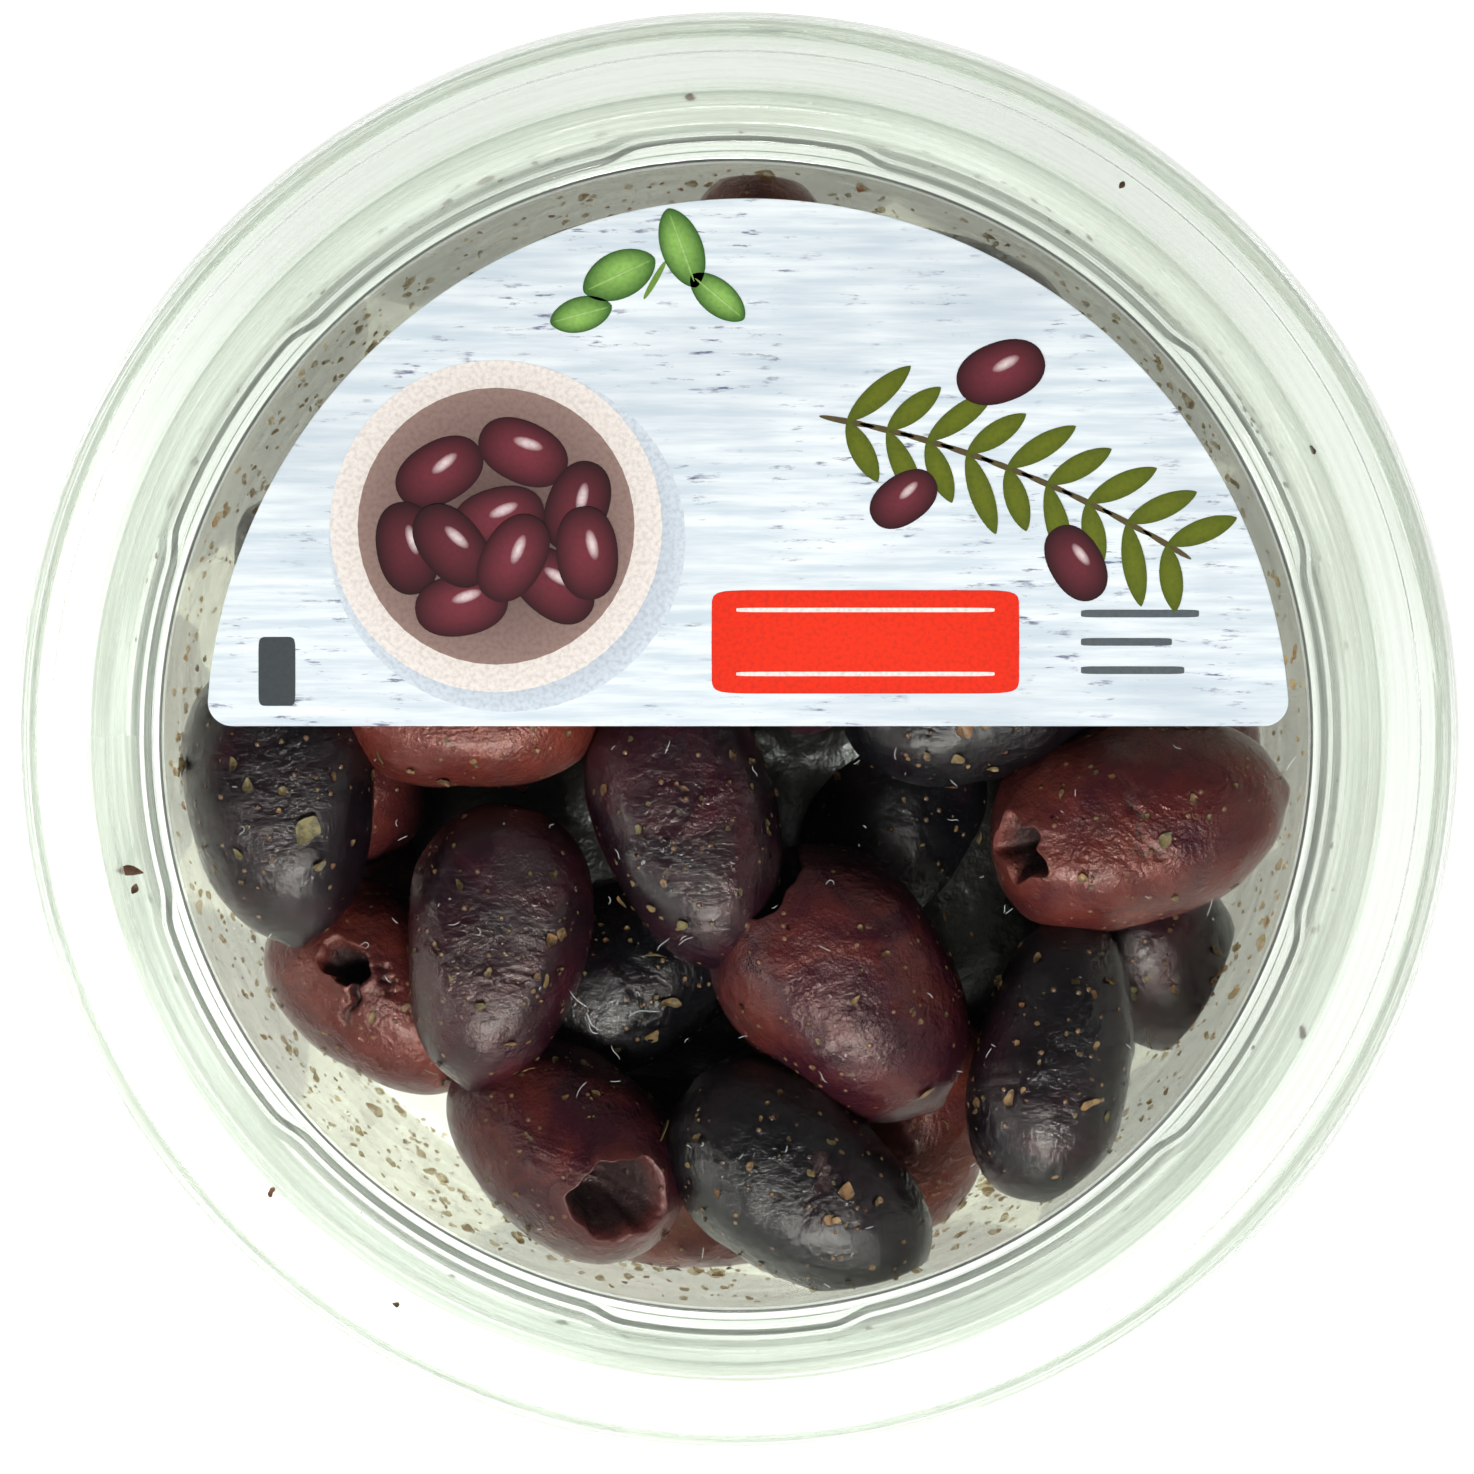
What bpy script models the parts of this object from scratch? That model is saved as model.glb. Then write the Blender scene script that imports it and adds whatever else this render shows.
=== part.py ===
"""Round clear deli tub of pitted olives, shut with a clear push-on lid that carries a half-round label.

The units are metres, +Z is up, and the origin is the middle of the tub's base. The tub and the lid are
turned from outlines of named sizes, with six stacking lugs set into both. The label is a sheet cut to a
half disc. The olives lie loose in the tub: each is placed by hand or by rule, they are pressed apart until
they fit, and those that show are fused to a core as one heap.
"""

import math
from collections import namedtuple

import bmesh
import bpy
import numpy as np

MM = 0.001

# Fit between pieces that touch
GAP = 0.3 * MM

# Tub: wall, floor, stacking step and flange
TUB_WALL = 0.7 * MM
FLOOR_THICKNESS = 0.8 * MM
FLOOR_RADIUS = 43.0 * MM
FLOOR_FILLET = 2.2 * MM
GROOVE_RADII = (30.4 * MM, 38.0 * MM)
GROOVE_DEPTH = 0.35 * MM
WALL_TOP_RADIUS = 46.9 * MM
WALL_TOP = 42.3 * MM
STEP_RADIUS = 48.1 * MM
STEP_HEIGHT = 43.5 * MM
STEP_DRAFT = 0.4 * MM
UNDERSIDE_DROP = 0.3 * MM
BASE_FILLET = 2.8 * MM
GROOVE_SLOPE = 0.5 * MM
LEDGE_HEIGHT = 44.8 * MM
LEDGE_RADIUS = 50.7 * MM
FLANGE_HEIGHT = 46.6 * MM
FLANGE_INNER_RADIUS = 51.5 * MM
FLANGE_RADIUS = 57.7 * MM
FLANGE_FILLET = 0.9 * MM
FLANGE_TURN_DOWN = 1.7 * MM

# Lid: sunk panel, plug wall, rim and skirt
LID_WALL = 0.6 * MM
LID_HEIGHT = 48.0 * MM
LID_RADIUS = 59.0 * MM
PANEL_DEPTH = 3.6 * MM
PANEL_RADIUS = 47.15 * MM
PANEL_FILLET = 0.5 * MM
PLUG_DRAFT = 0.35 * MM
PLUG_WALL_OFFSET = 0.55 * MM
LID_LEDGE_HEIGHT = 45.7 * MM
LID_LEDGE_RADIUS = 49.8 * MM
BEAD_RADII = (50.75 * MM, 51.9 * MM)
RIM_DROP = 0.3 * MM
RIM_STEP_RADIUS = 55.5 * MM
RIM_STEP_DROP = 0.5 * MM
SHOULDER_RADIUS = 58.1 * MM
SHOULDER_FILLET = 1.1 * MM
SKIRT_BOTTOM = 42.6 * MM
SNAP_RADIUS = 57.45 * MM
SNAP_HEIGHT = 44.1 * MM
SNAP_DEPTH = 0.6 * MM
SMALL_STEP = 0.2 * MM

# Stacking lugs: the step of tub and lid stands further out over a short arc, six times round
LUG_COUNT = 6
LUG_TURN = 29.1
LUG_PUSH = 0.65 * MM
LUG_HALF_SPAN = 10.2
LUG_END_SLOPE = 4.0
RING_STEPS = (-LUG_TURN, -22.0, -14.2, -10.2, -5.0, 0.9, 5.5, 10.2, 14.2, 22.0)
ARC_STEP = 40.0

# Label: a disc sheet cut off straight, laid on the panel's far half
LABEL_RADIUS = 44.0 * MM
LABEL_CENTRE = (0.97 * MM, -0.36 * MM)
LABEL_CUT = 0.77 * MM
LABEL_CORNER = 2.0 * MM
LABEL_THICKNESS = 0.3 * MM
LABEL_ARC_POINTS = 56
LABEL_CORNER_POINTS = 5

# Olives: room left for them, core and outline
HEAP_TOP = LID_HEIGHT - PANEL_DEPTH - LID_WALL - GAP
HEAP_BOTTOM = FLOOR_THICKNESS + GAP
CORE_RADIUS = 31.0 * MM
CORE_FOOT_RADIUS = 29.0 * MM
CORE_BOTTOM = 3.0 * MM
CORE_TOP = 29.0 * MM
CORE_SIDES = 16
OLIVE_SIDES = 8
OLIVE_RINGS = 6
OLIVE_FULLNESS = 2.25
OLIVE_BLUNTNESS = 0.09
PIT_DEPTH = 5.0 * MM
PIT_TAPER = 0.75
END_BALL = 0.78
SETTLE_ROUNDS = 240
SETTLE_RATE = 0.45
SEEN_SINK_RATE = 0.08
FACE_MARGIN = 0.15 * MM
WELD = 0.02 * MM
SEED = 7

# An olive by its middle (mm), how far its top lies under the panel, its length and width (mm), the turn of
# its blossom end about Z and that end's rise, and its pit hole: how far the hole's middle is tipped up from
# the stem end and how wide it opens on each side, in degrees seen from the olive's middle
Olive = namedtuple("Olive", "x y sink length width turn rise tip opening", defaults=(0, 0))

SEEN_OLIVES = (
    Olive(-37.4, -5.0, 1.0, 23.5, 15.4, -84, 0),
    Olive(-22.2, 3.8, 0.5, 22.5, 16.5, -12, 0),
    Olive(-19.8, -17.0, 0.0, 23.8, 15.0, -99, 0),
    Olive(-29.4, -21.2, 8.0, 21.5, 14.0, -40, 0, tip=62, opening=14),
    Olive(-14.2, -34.0, 3.0, 22.6, 15.4, 139, -10, tip=42, opening=22),
    Olive(-3.8, -7.6, 1.0, 24.0, 15.0, -74, 0),
    Olive(9.0, -20.6, 0.0, 24.5, 18.3, -53, -8, tip=14, opening=19),
    Olive(13.0, -7.0, 8.0, 22.0, 15.0, 60, 0),
    Olive(19.5, 3.8, 2.5, 22.0, 15.5, 10, 0),
    Olive(33.0, -7.2, 0.0, 25.0, 17.0, 12, 0, tip=30, opening=13),
    Olive(26.1, -26.8, 2.5, 23.5, 12.8, 80, 0),
    Olive(34.0, -17.0, 8.0, 21.0, 15.0, -60, 0),
    Olive(5.2, -37.0, 2.5, 24.0, 15.2, -38, 0),
    Olive(14.8, -32.6, 9.0, 20.0, 13.5, 70, 20),
    Olive(-3.4, -37.6, 13.0, 22.0, 15.0, 0, 0),
    Olive(-8.0, -19.5, 10.0, 22.0, 15.0, 30, 0),
    Olive(34.2, 10.2, 2.5, 22.5, 15.0, 14, 0),
    Olive(27.8, 25.0, 2.5, 23.0, 15.5, 131, 0),
    Olive(16.6, 33.6, 1.0, 23.0, 16.0, 157, 0),
    Olive(1.6, 36.2, 1.0, 21.5, 14.5, 88, 20),
    Olive(-17.4, 29.8, 1.0, 23.5, 16.0, 30, 0),
    Olive(-30.8, 13.4, 2.0, 22.5, 15.5, 156, 0),
    Olive(13.0, 18.8, 3.0, 21.0, 15.0, 30, 0, tip=20, opening=18),
    Olive(-3.6, 15.6, 1.0, 22.0, 14.5, 96, 0),
    Olive(-19.0, 19.0, 5.0, 20.5, 14.0, 12, 0),
)

# Rows of olives below, by rule: how many, distance from the axis and height (mm), and first angle
Row = namedtuple("Row", "count radius height first")
LOWER_ROWS = (
    Row(10, 36.0, 22.0, -2),
    Row(3, 14.0, 22.0, 40),
    Row(10, 34.5, 9.5, 20),
    Row(3, 15.0, 9.5, 90),
)
LOWER_LENGTH = (20.5, 24.0)
LOWER_WIDTH = (14.8, 16.8)
LOWER_RISE = 0.6
ROW_JITTER = 4.0

# One settled olive, by its number, lies farther from the wall (mm), so that the floor shows at the near left
DRAWN_IN = 32
DRAWN_IN_BY = (4.0, 6.0, 0.0)

SHARP_ANGLE = 35.0

Corner = namedtuple("Corner", "radius height fillet lug", defaults=(0.0, 0.0))


def clear_scene():
    """Removes every object that the file starts with."""
    for old in list(bpy.data.objects):
        bpy.data.objects.remove(old, do_unlink=True)


def material(name, colour, roughness, transmission=0.0):
    """A plain Principled material of one colour."""
    made = bpy.data.materials.new(name)
    made.use_nodes = True
    shader = made.node_tree.nodes["Principled BSDF"]
    shader.inputs["Base Color"].default_value = (*colour, 1.0)
    shader.inputs["Roughness"].default_value = roughness
    shader.inputs["Metallic"].default_value = 0.0
    shader.inputs["Transmission Weight"].default_value = transmission
    return made


def add_object(name, bm, finish):
    """Makes the bmesh an object of the scene, shaded smooth up to its sharp edges."""
    mesh = bpy.data.meshes.new(name)
    bm.to_mesh(mesh)
    bm.free()
    mesh.materials.append(finish)
    mesh.shade_smooth()
    mesh.set_sharp_from_angle(angle=math.radians(SHARP_ANGLE))
    made = bpy.data.objects.new(name, mesh)
    bpy.context.scene.collection.objects.link(made)
    return made


def rounded(corners):
    """The outline's points, with an arc in place of each corner that has a fillet."""
    points = []
    for i, corner in enumerate(corners):
        here = np.array((corner.radius, corner.height))
        if corner.fillet == 0.0:
            points.append((*here, corner.lug))
            continue
        before = np.array(corners[i - 1][:2]) - here
        after = np.array(corners[(i + 1) % len(corners)][:2]) - here
        before /= np.linalg.norm(before)
        after /= np.linalg.norm(after)
        half = 0.5 * math.acos(float(np.clip(before @ after, -1.0, 1.0)))
        middle = here + (before + after) / np.linalg.norm(before + after) * corner.fillet / math.sin(half)
        start = here + before * corner.fillet / math.tan(half) - middle
        end = here + after * corner.fillet / math.tan(half) - middle
        turn = math.pi - 2.0 * half
        steps = max(1, math.ceil(math.degrees(turn) / ARC_STEP))
        for k in range(steps + 1):
            part = k / steps
            spoke = (math.sin((1.0 - part) * turn) * start + math.sin(part * turn) * end) / math.sin(turn)
            points.append((*(middle + spoke), corner.lug))
    return points


def lug_push(angle):
    """How far out the step stands at an angle in degrees: full over a lug, sloping to nothing at its ends."""
    off = abs((angle - LUG_TURN + 180.0 / LUG_COUNT) % (360.0 / LUG_COUNT) - 180.0 / LUG_COUNT)
    return LUG_PUSH * min(1.0, max(0.0, (LUG_HALF_SPAN + LUG_END_SLOPE - off) / LUG_END_SLOPE))


def turned(name, corners, finish):
    """A closed body turned about Z from an outline that starts and ends on the axis."""
    angles = [LUG_TURN + k * 360.0 / LUG_COUNT + step for k in range(LUG_COUNT) for step in RING_STEPS]
    bm = bmesh.new()
    rings = []
    for radius, height, lug in rounded(corners):
        if radius == 0.0:
            rings.append([bm.verts.new((0.0, 0.0, height))] * len(angles))
            continue
        ring = []
        for angle in angles:
            reach = radius + lug * lug_push(angle)
            turn = math.radians(angle)
            ring.append(bm.verts.new((reach * math.cos(turn), reach * math.sin(turn), height)))
        rings.append(ring)
    for lower, upper in zip(rings, rings[1:]):
        for j in range(len(angles)):
            k = (j + 1) % len(angles)
            around = []
            for vert in (lower[j], lower[k], upper[k], upper[j]):
                if vert not in around:
                    around.append(vert)
            bm.faces.new(around)
    bmesh.ops.recalc_face_normals(bm, faces=bm.faces)
    return add_object(name, bm, finish)


def make_tub():
    """The tub: thin floor and wall, stacking step, ledge, and a flat flange with a turned-down edge."""
    flange_under = FLANGE_HEIGHT - TUB_WALL
    corners = (
        Corner(0.0, FLOOR_THICKNESS),
        Corner(FLOOR_RADIUS, FLOOR_THICKNESS, FLOOR_FILLET),
        Corner(WALL_TOP_RADIUS, WALL_TOP),
        Corner(STEP_RADIUS, STEP_HEIGHT, lug=1.0),
        Corner(STEP_RADIUS + STEP_DRAFT, LEDGE_HEIGHT, lug=1.0),
        Corner(LEDGE_RADIUS, LEDGE_HEIGHT),
        Corner(FLANGE_INNER_RADIUS, FLANGE_HEIGHT),
        Corner(FLANGE_RADIUS - SMALL_STEP, FLANGE_HEIGHT, FLANGE_FILLET),
        Corner(FLANGE_RADIUS, FLANGE_HEIGHT - FLANGE_TURN_DOWN),
        Corner(FLANGE_RADIUS - TUB_WALL, FLANGE_HEIGHT - FLANGE_TURN_DOWN),
        Corner(FLANGE_RADIUS - SMALL_STEP - TUB_WALL, flange_under),
        Corner(FLANGE_INNER_RADIUS + TUB_WALL, flange_under),
        Corner(LEDGE_RADIUS + TUB_WALL, LEDGE_HEIGHT - TUB_WALL),
        Corner(STEP_RADIUS + STEP_DRAFT + TUB_WALL, LEDGE_HEIGHT - TUB_WALL, lug=1.0),
        Corner(STEP_RADIUS + TUB_WALL, STEP_HEIGHT - UNDERSIDE_DROP, lug=1.0),
        Corner(WALL_TOP_RADIUS + TUB_WALL, WALL_TOP - UNDERSIDE_DROP),
        Corner(FLOOR_RADIUS + TUB_WALL, 0.0, BASE_FILLET),
        Corner(GROOVE_RADII[1], 0.0),
        Corner(GROOVE_RADII[1] - GROOVE_SLOPE, GROOVE_DEPTH),
        Corner(GROOVE_RADII[0] + GROOVE_SLOPE, GROOVE_DEPTH),
        Corner(GROOVE_RADII[0], 0.0),
        Corner(0.0, 0.0),
    )
    return turned("tub", corners, material("clear_tub", (0.88, 0.91, 0.86), 0.08, 1.0))


def make_lid():
    """The lid: a sunk flat panel, a stepped plug wall, a beaded flat rim, and a skirt that grips the tub."""
    panel = LID_HEIGHT - PANEL_DEPTH
    rim = LID_HEIGHT - RIM_DROP
    rim_edge = LID_HEIGHT - RIM_STEP_DROP
    corners = (
        Corner(0.0, panel),
        Corner(PANEL_RADIUS, panel, PANEL_FILLET),
        Corner(PANEL_RADIUS + PLUG_DRAFT, LID_LEDGE_HEIGHT, lug=1.0),
        Corner(LID_LEDGE_RADIUS, LID_LEDGE_HEIGHT),
        Corner(BEAD_RADII[0], LID_HEIGHT),
        Corner(BEAD_RADII[1], LID_HEIGHT),
        Corner(BEAD_RADII[1] + RIM_DROP, rim),
        Corner(RIM_STEP_RADIUS, rim),
        Corner(RIM_STEP_RADIUS + SMALL_STEP, rim_edge),
        Corner(SHOULDER_RADIUS, rim_edge, SHOULDER_FILLET),
        Corner(LID_RADIUS, SKIRT_BOTTOM),
        Corner(LID_RADIUS - LID_WALL, SKIRT_BOTTOM),
        Corner(SNAP_RADIUS + SNAP_DEPTH, SNAP_HEIGHT - SNAP_DEPTH),
        Corner(SNAP_RADIUS, SNAP_HEIGHT),
        Corner(SNAP_RADIUS + SNAP_DEPTH, SNAP_HEIGHT + SNAP_DEPTH),
        Corner(SHOULDER_RADIUS - SMALL_STEP, rim_edge - LID_WALL, SHOULDER_FILLET - LID_WALL),
        Corner(RIM_STEP_RADIUS, rim_edge - LID_WALL),
        Corner(RIM_STEP_RADIUS - SMALL_STEP, rim - LID_WALL),
        Corner(BEAD_RADII[1] + RIM_DROP, rim - LID_WALL),
        Corner(BEAD_RADII[1] - 0.5 * SMALL_STEP, LID_HEIGHT - LID_WALL),
        Corner(BEAD_RADII[0] + 2.0 * SMALL_STEP, LID_HEIGHT - LID_WALL),
        Corner(LID_LEDGE_RADIUS + 2.0 * SMALL_STEP, LID_LEDGE_HEIGHT - LID_WALL),
        Corner(PANEL_RADIUS + PLUG_WALL_OFFSET + PLUG_DRAFT, LID_LEDGE_HEIGHT - LID_WALL, lug=1.0),
        Corner(PANEL_RADIUS + PLUG_WALL_OFFSET, panel - LID_WALL, PANEL_FILLET + SMALL_STEP),
        Corner(0.0, panel - LID_WALL),
    )
    return turned("lid", corners, material("clear_lid", (0.90, 0.93, 0.89), 0.06, 1.0))


def label_outline():
    """The label's outline: a rounded corner at the right, the long arc, and a rounded corner at the left."""
    inner = LABEL_RADIUS - LABEL_CORNER
    rise = LABEL_CUT + LABEL_CORNER - LABEL_CENTRE[1]
    side = math.sqrt(inner ** 2 - rise ** 2)
    lean = math.atan2(rise, side)
    points = []
    for k in range(LABEL_CORNER_POINTS):
        angle = -0.5 * math.pi + (0.5 * math.pi + lean) * k / LABEL_CORNER_POINTS
        points.append((side + LABEL_CORNER * math.cos(angle), rise + LABEL_CORNER * math.sin(angle)))
    for k in range(LABEL_ARC_POINTS + 1):
        angle = lean + (math.pi - 2.0 * lean) * k / LABEL_ARC_POINTS
        points.append((LABEL_RADIUS * math.cos(angle), LABEL_RADIUS * math.sin(angle)))
    for k in reversed(range(LABEL_CORNER_POINTS)):
        angle = -0.5 * math.pi + (0.5 * math.pi + lean) * k / LABEL_CORNER_POINTS
        points.append((-side - LABEL_CORNER * math.cos(angle), rise + LABEL_CORNER * math.sin(angle)))
    return [(x + LABEL_CENTRE[0], y + LABEL_CENTRE[1]) for x, y in points]


def make_label():
    """The printed label, a thin sheet on the panel."""
    bottom = LID_HEIGHT - PANEL_DEPTH + GAP
    bm = bmesh.new()
    face = bm.faces.new([bm.verts.new((x, y, bottom)) for x, y in label_outline()])
    raised = bmesh.ops.extrude_face_region(bm, geom=[face])["geom"]
    top = [item for item in raised if isinstance(item, bmesh.types.BMVert)]
    bmesh.ops.translate(bm, verts=top, vec=(0.0, 0.0, LABEL_THICKNESS))
    bmesh.ops.recalc_face_normals(bm, faces=bm.faces)
    return add_object("label", bm, material("printed_label", (0.80, 0.84, 0.86), 0.45))


def wall_radius(height):
    """Inside radius of the tub's straight wall at a height."""
    draft = (WALL_TOP_RADIUS - FLOOR_RADIUS) / (WALL_TOP - FLOOR_THICKNESS)
    return FLOOR_RADIUS + draft * (height - FLOOR_THICKNESS)


def all_olives():
    """Middles, long axes, half sizes, held flags and pit holes of every olive, before they are settled."""
    draw = np.random.default_rng(SEED)
    middles, axes, sizes, held, pits = [], [], [], [], []
    for one in SEEN_OLIVES:
        turn, rise = math.radians(one.turn), math.radians(one.rise)
        middles.append((one.x * MM, one.y * MM, HEAP_TOP - (one.sink + 0.5 * one.width) * MM))
        axes.append((math.cos(turn) * math.cos(rise), math.sin(turn) * math.cos(rise), math.sin(rise)))
        sizes.append((0.5 * one.length * MM, 0.5 * one.width * MM))
        held.append(True)
        pits.append((math.radians(one.tip), math.radians(one.opening)))
    for row in LOWER_ROWS:
        for k in range(row.count):
            angle = math.radians(row.first + 360.0 * k / row.count + draw.uniform(-ROW_JITTER, ROW_JITTER))
            lean = draw.uniform(0.0, math.pi)
            steep = draw.uniform(-LOWER_RISE, LOWER_RISE)
            out = row.radius * MM
            middles.append((out * math.cos(angle), out * math.sin(angle), row.height * MM))
            axes.append((math.cos(lean) * math.cos(steep), math.sin(lean) * math.cos(steep), math.sin(steep)))
            sizes.append((0.5 * draw.uniform(*LOWER_LENGTH) * MM, 0.5 * draw.uniform(*LOWER_WIDTH) * MM))
            held.append(False)
            pits.append((0.0, 0.0))
    return np.array(middles), np.array(axes), np.array(sizes), np.array(held), pits


def settle(middles, axes, sizes, held):
    """Presses the olives apart and back into the tub, each taken as three balls in a row.

    Balls that overlap, or cross the wall, floor or panel, push their olive off and turn it. The olives that
    show only rise or sink, and the others also shift and turn.
    """
    half_length, half_width = sizes[:, 0], sizes[:, 1]
    end_radius = END_BALL * half_width
    radii = np.stack((end_radius, half_width, end_radius), axis=1)
    offsets = np.stack((end_radius - half_length, 0.0 * half_length, half_length - end_radius), axis=1)
    owner = np.repeat(np.arange(len(middles)), 3)
    rates = np.where(held[:, None], (0.0, 0.0, SEEN_SINK_RATE), SETTLE_RATE)
    flat_radii = radii.ravel()
    for _ in range(SETTLE_ROUNDS):
        balls = (middles[:, None, :] + offsets[:, :, None] * axes[:, None, :]).reshape(-1, 3)
        apart = balls[:, None, :] - balls[None, :, :]
        distance = np.linalg.norm(apart, axis=2) + 1e-9
        overlap = np.maximum(flat_radii[:, None] + flat_radii[None, :] - distance, 0.0)
        overlap[owner[:, None] == owner[None, :]] = 0.0
        push = (apart / distance[:, :, None] * overlap[:, :, None]).sum(axis=1)
        reach = np.linalg.norm(balls[:, :2], axis=1) + 1e-9
        outside = np.maximum(reach + flat_radii + GAP - wall_radius(balls[:, 2]), 0.0)
        push[:, :2] -= 2.0 * outside[:, None] * balls[:, :2] / reach[:, None]
        push[:, 2] += 2.0 * np.maximum(HEAP_BOTTOM + flat_radii - balls[:, 2], 0.0)
        push[:, 2] -= 2.0 * np.maximum(balls[:, 2] + flat_radii - HEAP_TOP, 0.0)
        push = push.reshape(-1, 3, 3)
        arms = offsets[:, :, None] * axes[:, None, :]
        spin = np.cross(arms, push).sum(axis=1) / (2.0 * np.maximum(offsets[:, 2:], MM) ** 2)
        middles = middles + rates * push.sum(axis=1) / 2.0
        axes = axes + rates[:, :1] * np.cross(spin, axes)
        axes /= np.linalg.norm(axes, axis=1)[:, None]
    return middles, axes


def keep_inside(points, margin):
    """Draws points that cross the tub's wall, the floor or the panel back to a margin inside them."""
    kept = points.copy()
    kept[:, 2] = np.clip(kept[:, 2], HEAP_BOTTOM + margin, HEAP_TOP - margin)
    reach = np.linalg.norm(kept[:, :2], axis=1) + 1e-9
    limit = wall_radius(kept[:, 2]) - GAP - margin
    corner = FLOOR_THICKNESS + FLOOR_FILLET
    limit -= np.maximum(corner + GAP - kept[:, 2], 0.0)
    kept[:, :2] *= np.minimum(1.0, limit / reach)[:, None]
    return kept


def olive_reach(directions, axis, size):
    """Distance from an olive's middle to its skin along each direction.

    The olive is a superellipsoid about its long axis, a little fuller to the stem end.
    """
    along = directions @ axis
    across = np.sqrt(np.maximum(1.0 - along ** 2, 0.0))
    half_width = size[1] * (1.0 - OLIVE_BLUNTNESS * along)
    inverse = (np.abs(along) / size[0]) ** OLIVE_FULLNESS + (across / half_width) ** OLIVE_FULLNESS
    return inverse ** (-1.0 / OLIVE_FULLNESS)


def make_olive(index, middle, axis, size, pit, margin, finish):
    """One olive of few sides, in its place in the tub.

    Its rings run about the long axis, or about the middle of its pit hole, which is sunk from the rim on.
    """
    tip, opening = pit
    side = np.cross(axis, (0.0, 0.0, 1.0))
    side /= np.linalg.norm(side)
    up = np.cross(side, axis)
    pole = math.sin(tip) * up - math.cos(tip) * axis
    across = np.cross(side, pole)
    angles = np.linspace(opening, math.pi, OLIVE_RINGS + 1)
    sunk = np.zeros(len(angles))
    if opening > 0.0:
        angles = np.concatenate(((0.0, PIT_TAPER * opening), angles))
        sunk = np.concatenate(((PIT_DEPTH, PIT_DEPTH), sunk))
    turns = (np.arange(OLIVE_SIDES) + 0.37 * index) * 2.0 * math.pi / OLIVE_SIDES
    spokes = np.cos(turns)[:, None] * side + np.sin(turns)[:, None] * across
    points = []
    for angle, depth in zip(angles, sunk):
        count = 1 if angle in (0.0, math.pi) else OLIVE_SIDES
        directions = math.cos(angle) * pole + math.sin(angle) * spokes[:count]
        reach = olive_reach(directions, axis, size) - depth
        points.extend(middle + reach[:, None] * directions)
    points = keep_inside(np.array(points), margin)
    bm = bmesh.new()
    verts = [bm.verts.new(point) for point in points]
    rings = [verts[1 + k * OLIVE_SIDES:1 + (k + 1) * OLIVE_SIDES] for k in range(len(angles) - 2)]
    for j in range(OLIVE_SIDES):
        k = (j + 1) % OLIVE_SIDES
        bm.faces.new((verts[0], rings[0][k], rings[0][j]))
        bm.faces.new((verts[-1], rings[-1][j], rings[-1][k]))
        for lower, upper in zip(rings, rings[1:]):
            bm.faces.new((lower[j], lower[k], upper[k], upper[j]))
    bmesh.ops.triangulate(bm, faces=bm.faces)
    bmesh.ops.recalc_face_normals(bm, faces=bm.faces)
    return add_object(f"olive_{index:02d}", bm, finish)


def make_core(finish):
    """The heap's core, a squat drum behind the olives that show."""
    bm = bmesh.new()
    middle = 0.5 * (CORE_BOTTOM + CORE_TOP)
    bmesh.ops.create_cone(
        bm, cap_ends=True, cap_tris=True, segments=CORE_SIDES, radius1=CORE_FOOT_RADIUS,
        radius2=CORE_RADIUS, depth=CORE_TOP - CORE_BOTTOM,
    )
    bmesh.ops.translate(bm, verts=bm.verts, vec=(0.0, 0.0, middle))
    return add_object("olives", bm, finish)


def largest_part(bm):
    """Drops the walls of sealed hollows and loose scraps, so that one body with no hollow is left."""
    left = set(bm.verts)
    parts = []
    while left:
        stack = [left.pop()]
        part = list(stack)
        while stack:
            for edge in stack.pop().link_edges:
                for vert in edge.verts:
                    if vert in left:
                        left.remove(vert)
                        stack.append(vert)
                        part.append(vert)
        parts.append(part)
    parts.sort(key=len)
    for part in parts[:-1]:
        bmesh.ops.delete(bm, geom=part, context="VERTS")


def make_heap():
    """The olives: those that stand out of the core are fused to it as one body."""
    finish = material("olive_skin", (0.07, 0.025, 0.03), 0.35)
    middles, axes, sizes, held, pits = all_olives()
    middles, axes = settle(middles, axes, sizes, held)
    middles[DRAWN_IN] += np.array(DRAWN_IN_BY) * MM
    margins = np.random.default_rng(SEED + 1).uniform(0.0, FACE_MARGIN, len(middles))
    heap = make_core(finish)
    group = bpy.data.collections.new("olives_that_show")
    bpy.context.scene.collection.children.link(group)
    for index, middle in enumerate(middles):
        reach = math.hypot(middle[0], middle[1])
        if middle[2] < CORE_TOP - sizes[index, 1] and reach < CORE_RADIUS - sizes[index, 1]:
            continue
        one = make_olive(index, middle, axes[index], sizes[index], pits[index], margins[index], finish)
        bpy.context.scene.collection.objects.unlink(one)
        group.objects.link(one)
    union = heap.modifiers.new("fuse_olives", "BOOLEAN")
    union.operation = "UNION"
    union.operand_type = "COLLECTION"
    union.collection = group
    union.solver = "EXACT"
    bpy.context.view_layer.update()
    fused = bpy.data.meshes.new_from_object(heap.evaluated_get(bpy.context.evaluated_depsgraph_get()))
    heap.modifiers.clear()
    for one in list(group.objects):
        bpy.data.objects.remove(one, do_unlink=True)
    bpy.data.collections.remove(group)
    bm = bmesh.new()
    bm.from_mesh(fused)
    bmesh.ops.remove_doubles(bm, verts=bm.verts, dist=WELD)
    bmesh.ops.dissolve_degenerate(bm, dist=WELD, edges=bm.edges)
    bmesh.ops.triangulate(bm, faces=bm.faces)
    largest_part(bm)
    bm.to_mesh(heap.data)
    bm.free()
    heap.data.update()
    return heap


clear_scene()
make_tub()
make_heap()
make_lid()
make_label()
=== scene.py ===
"""Clear deli tub of pitted olives with its lid on, seen from straight above.

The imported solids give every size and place. The tub, the lid, the label and the olives are then made again
as fine surfaces in the same places, each on a grid worked out as whole arrays.
"""

import math

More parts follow.
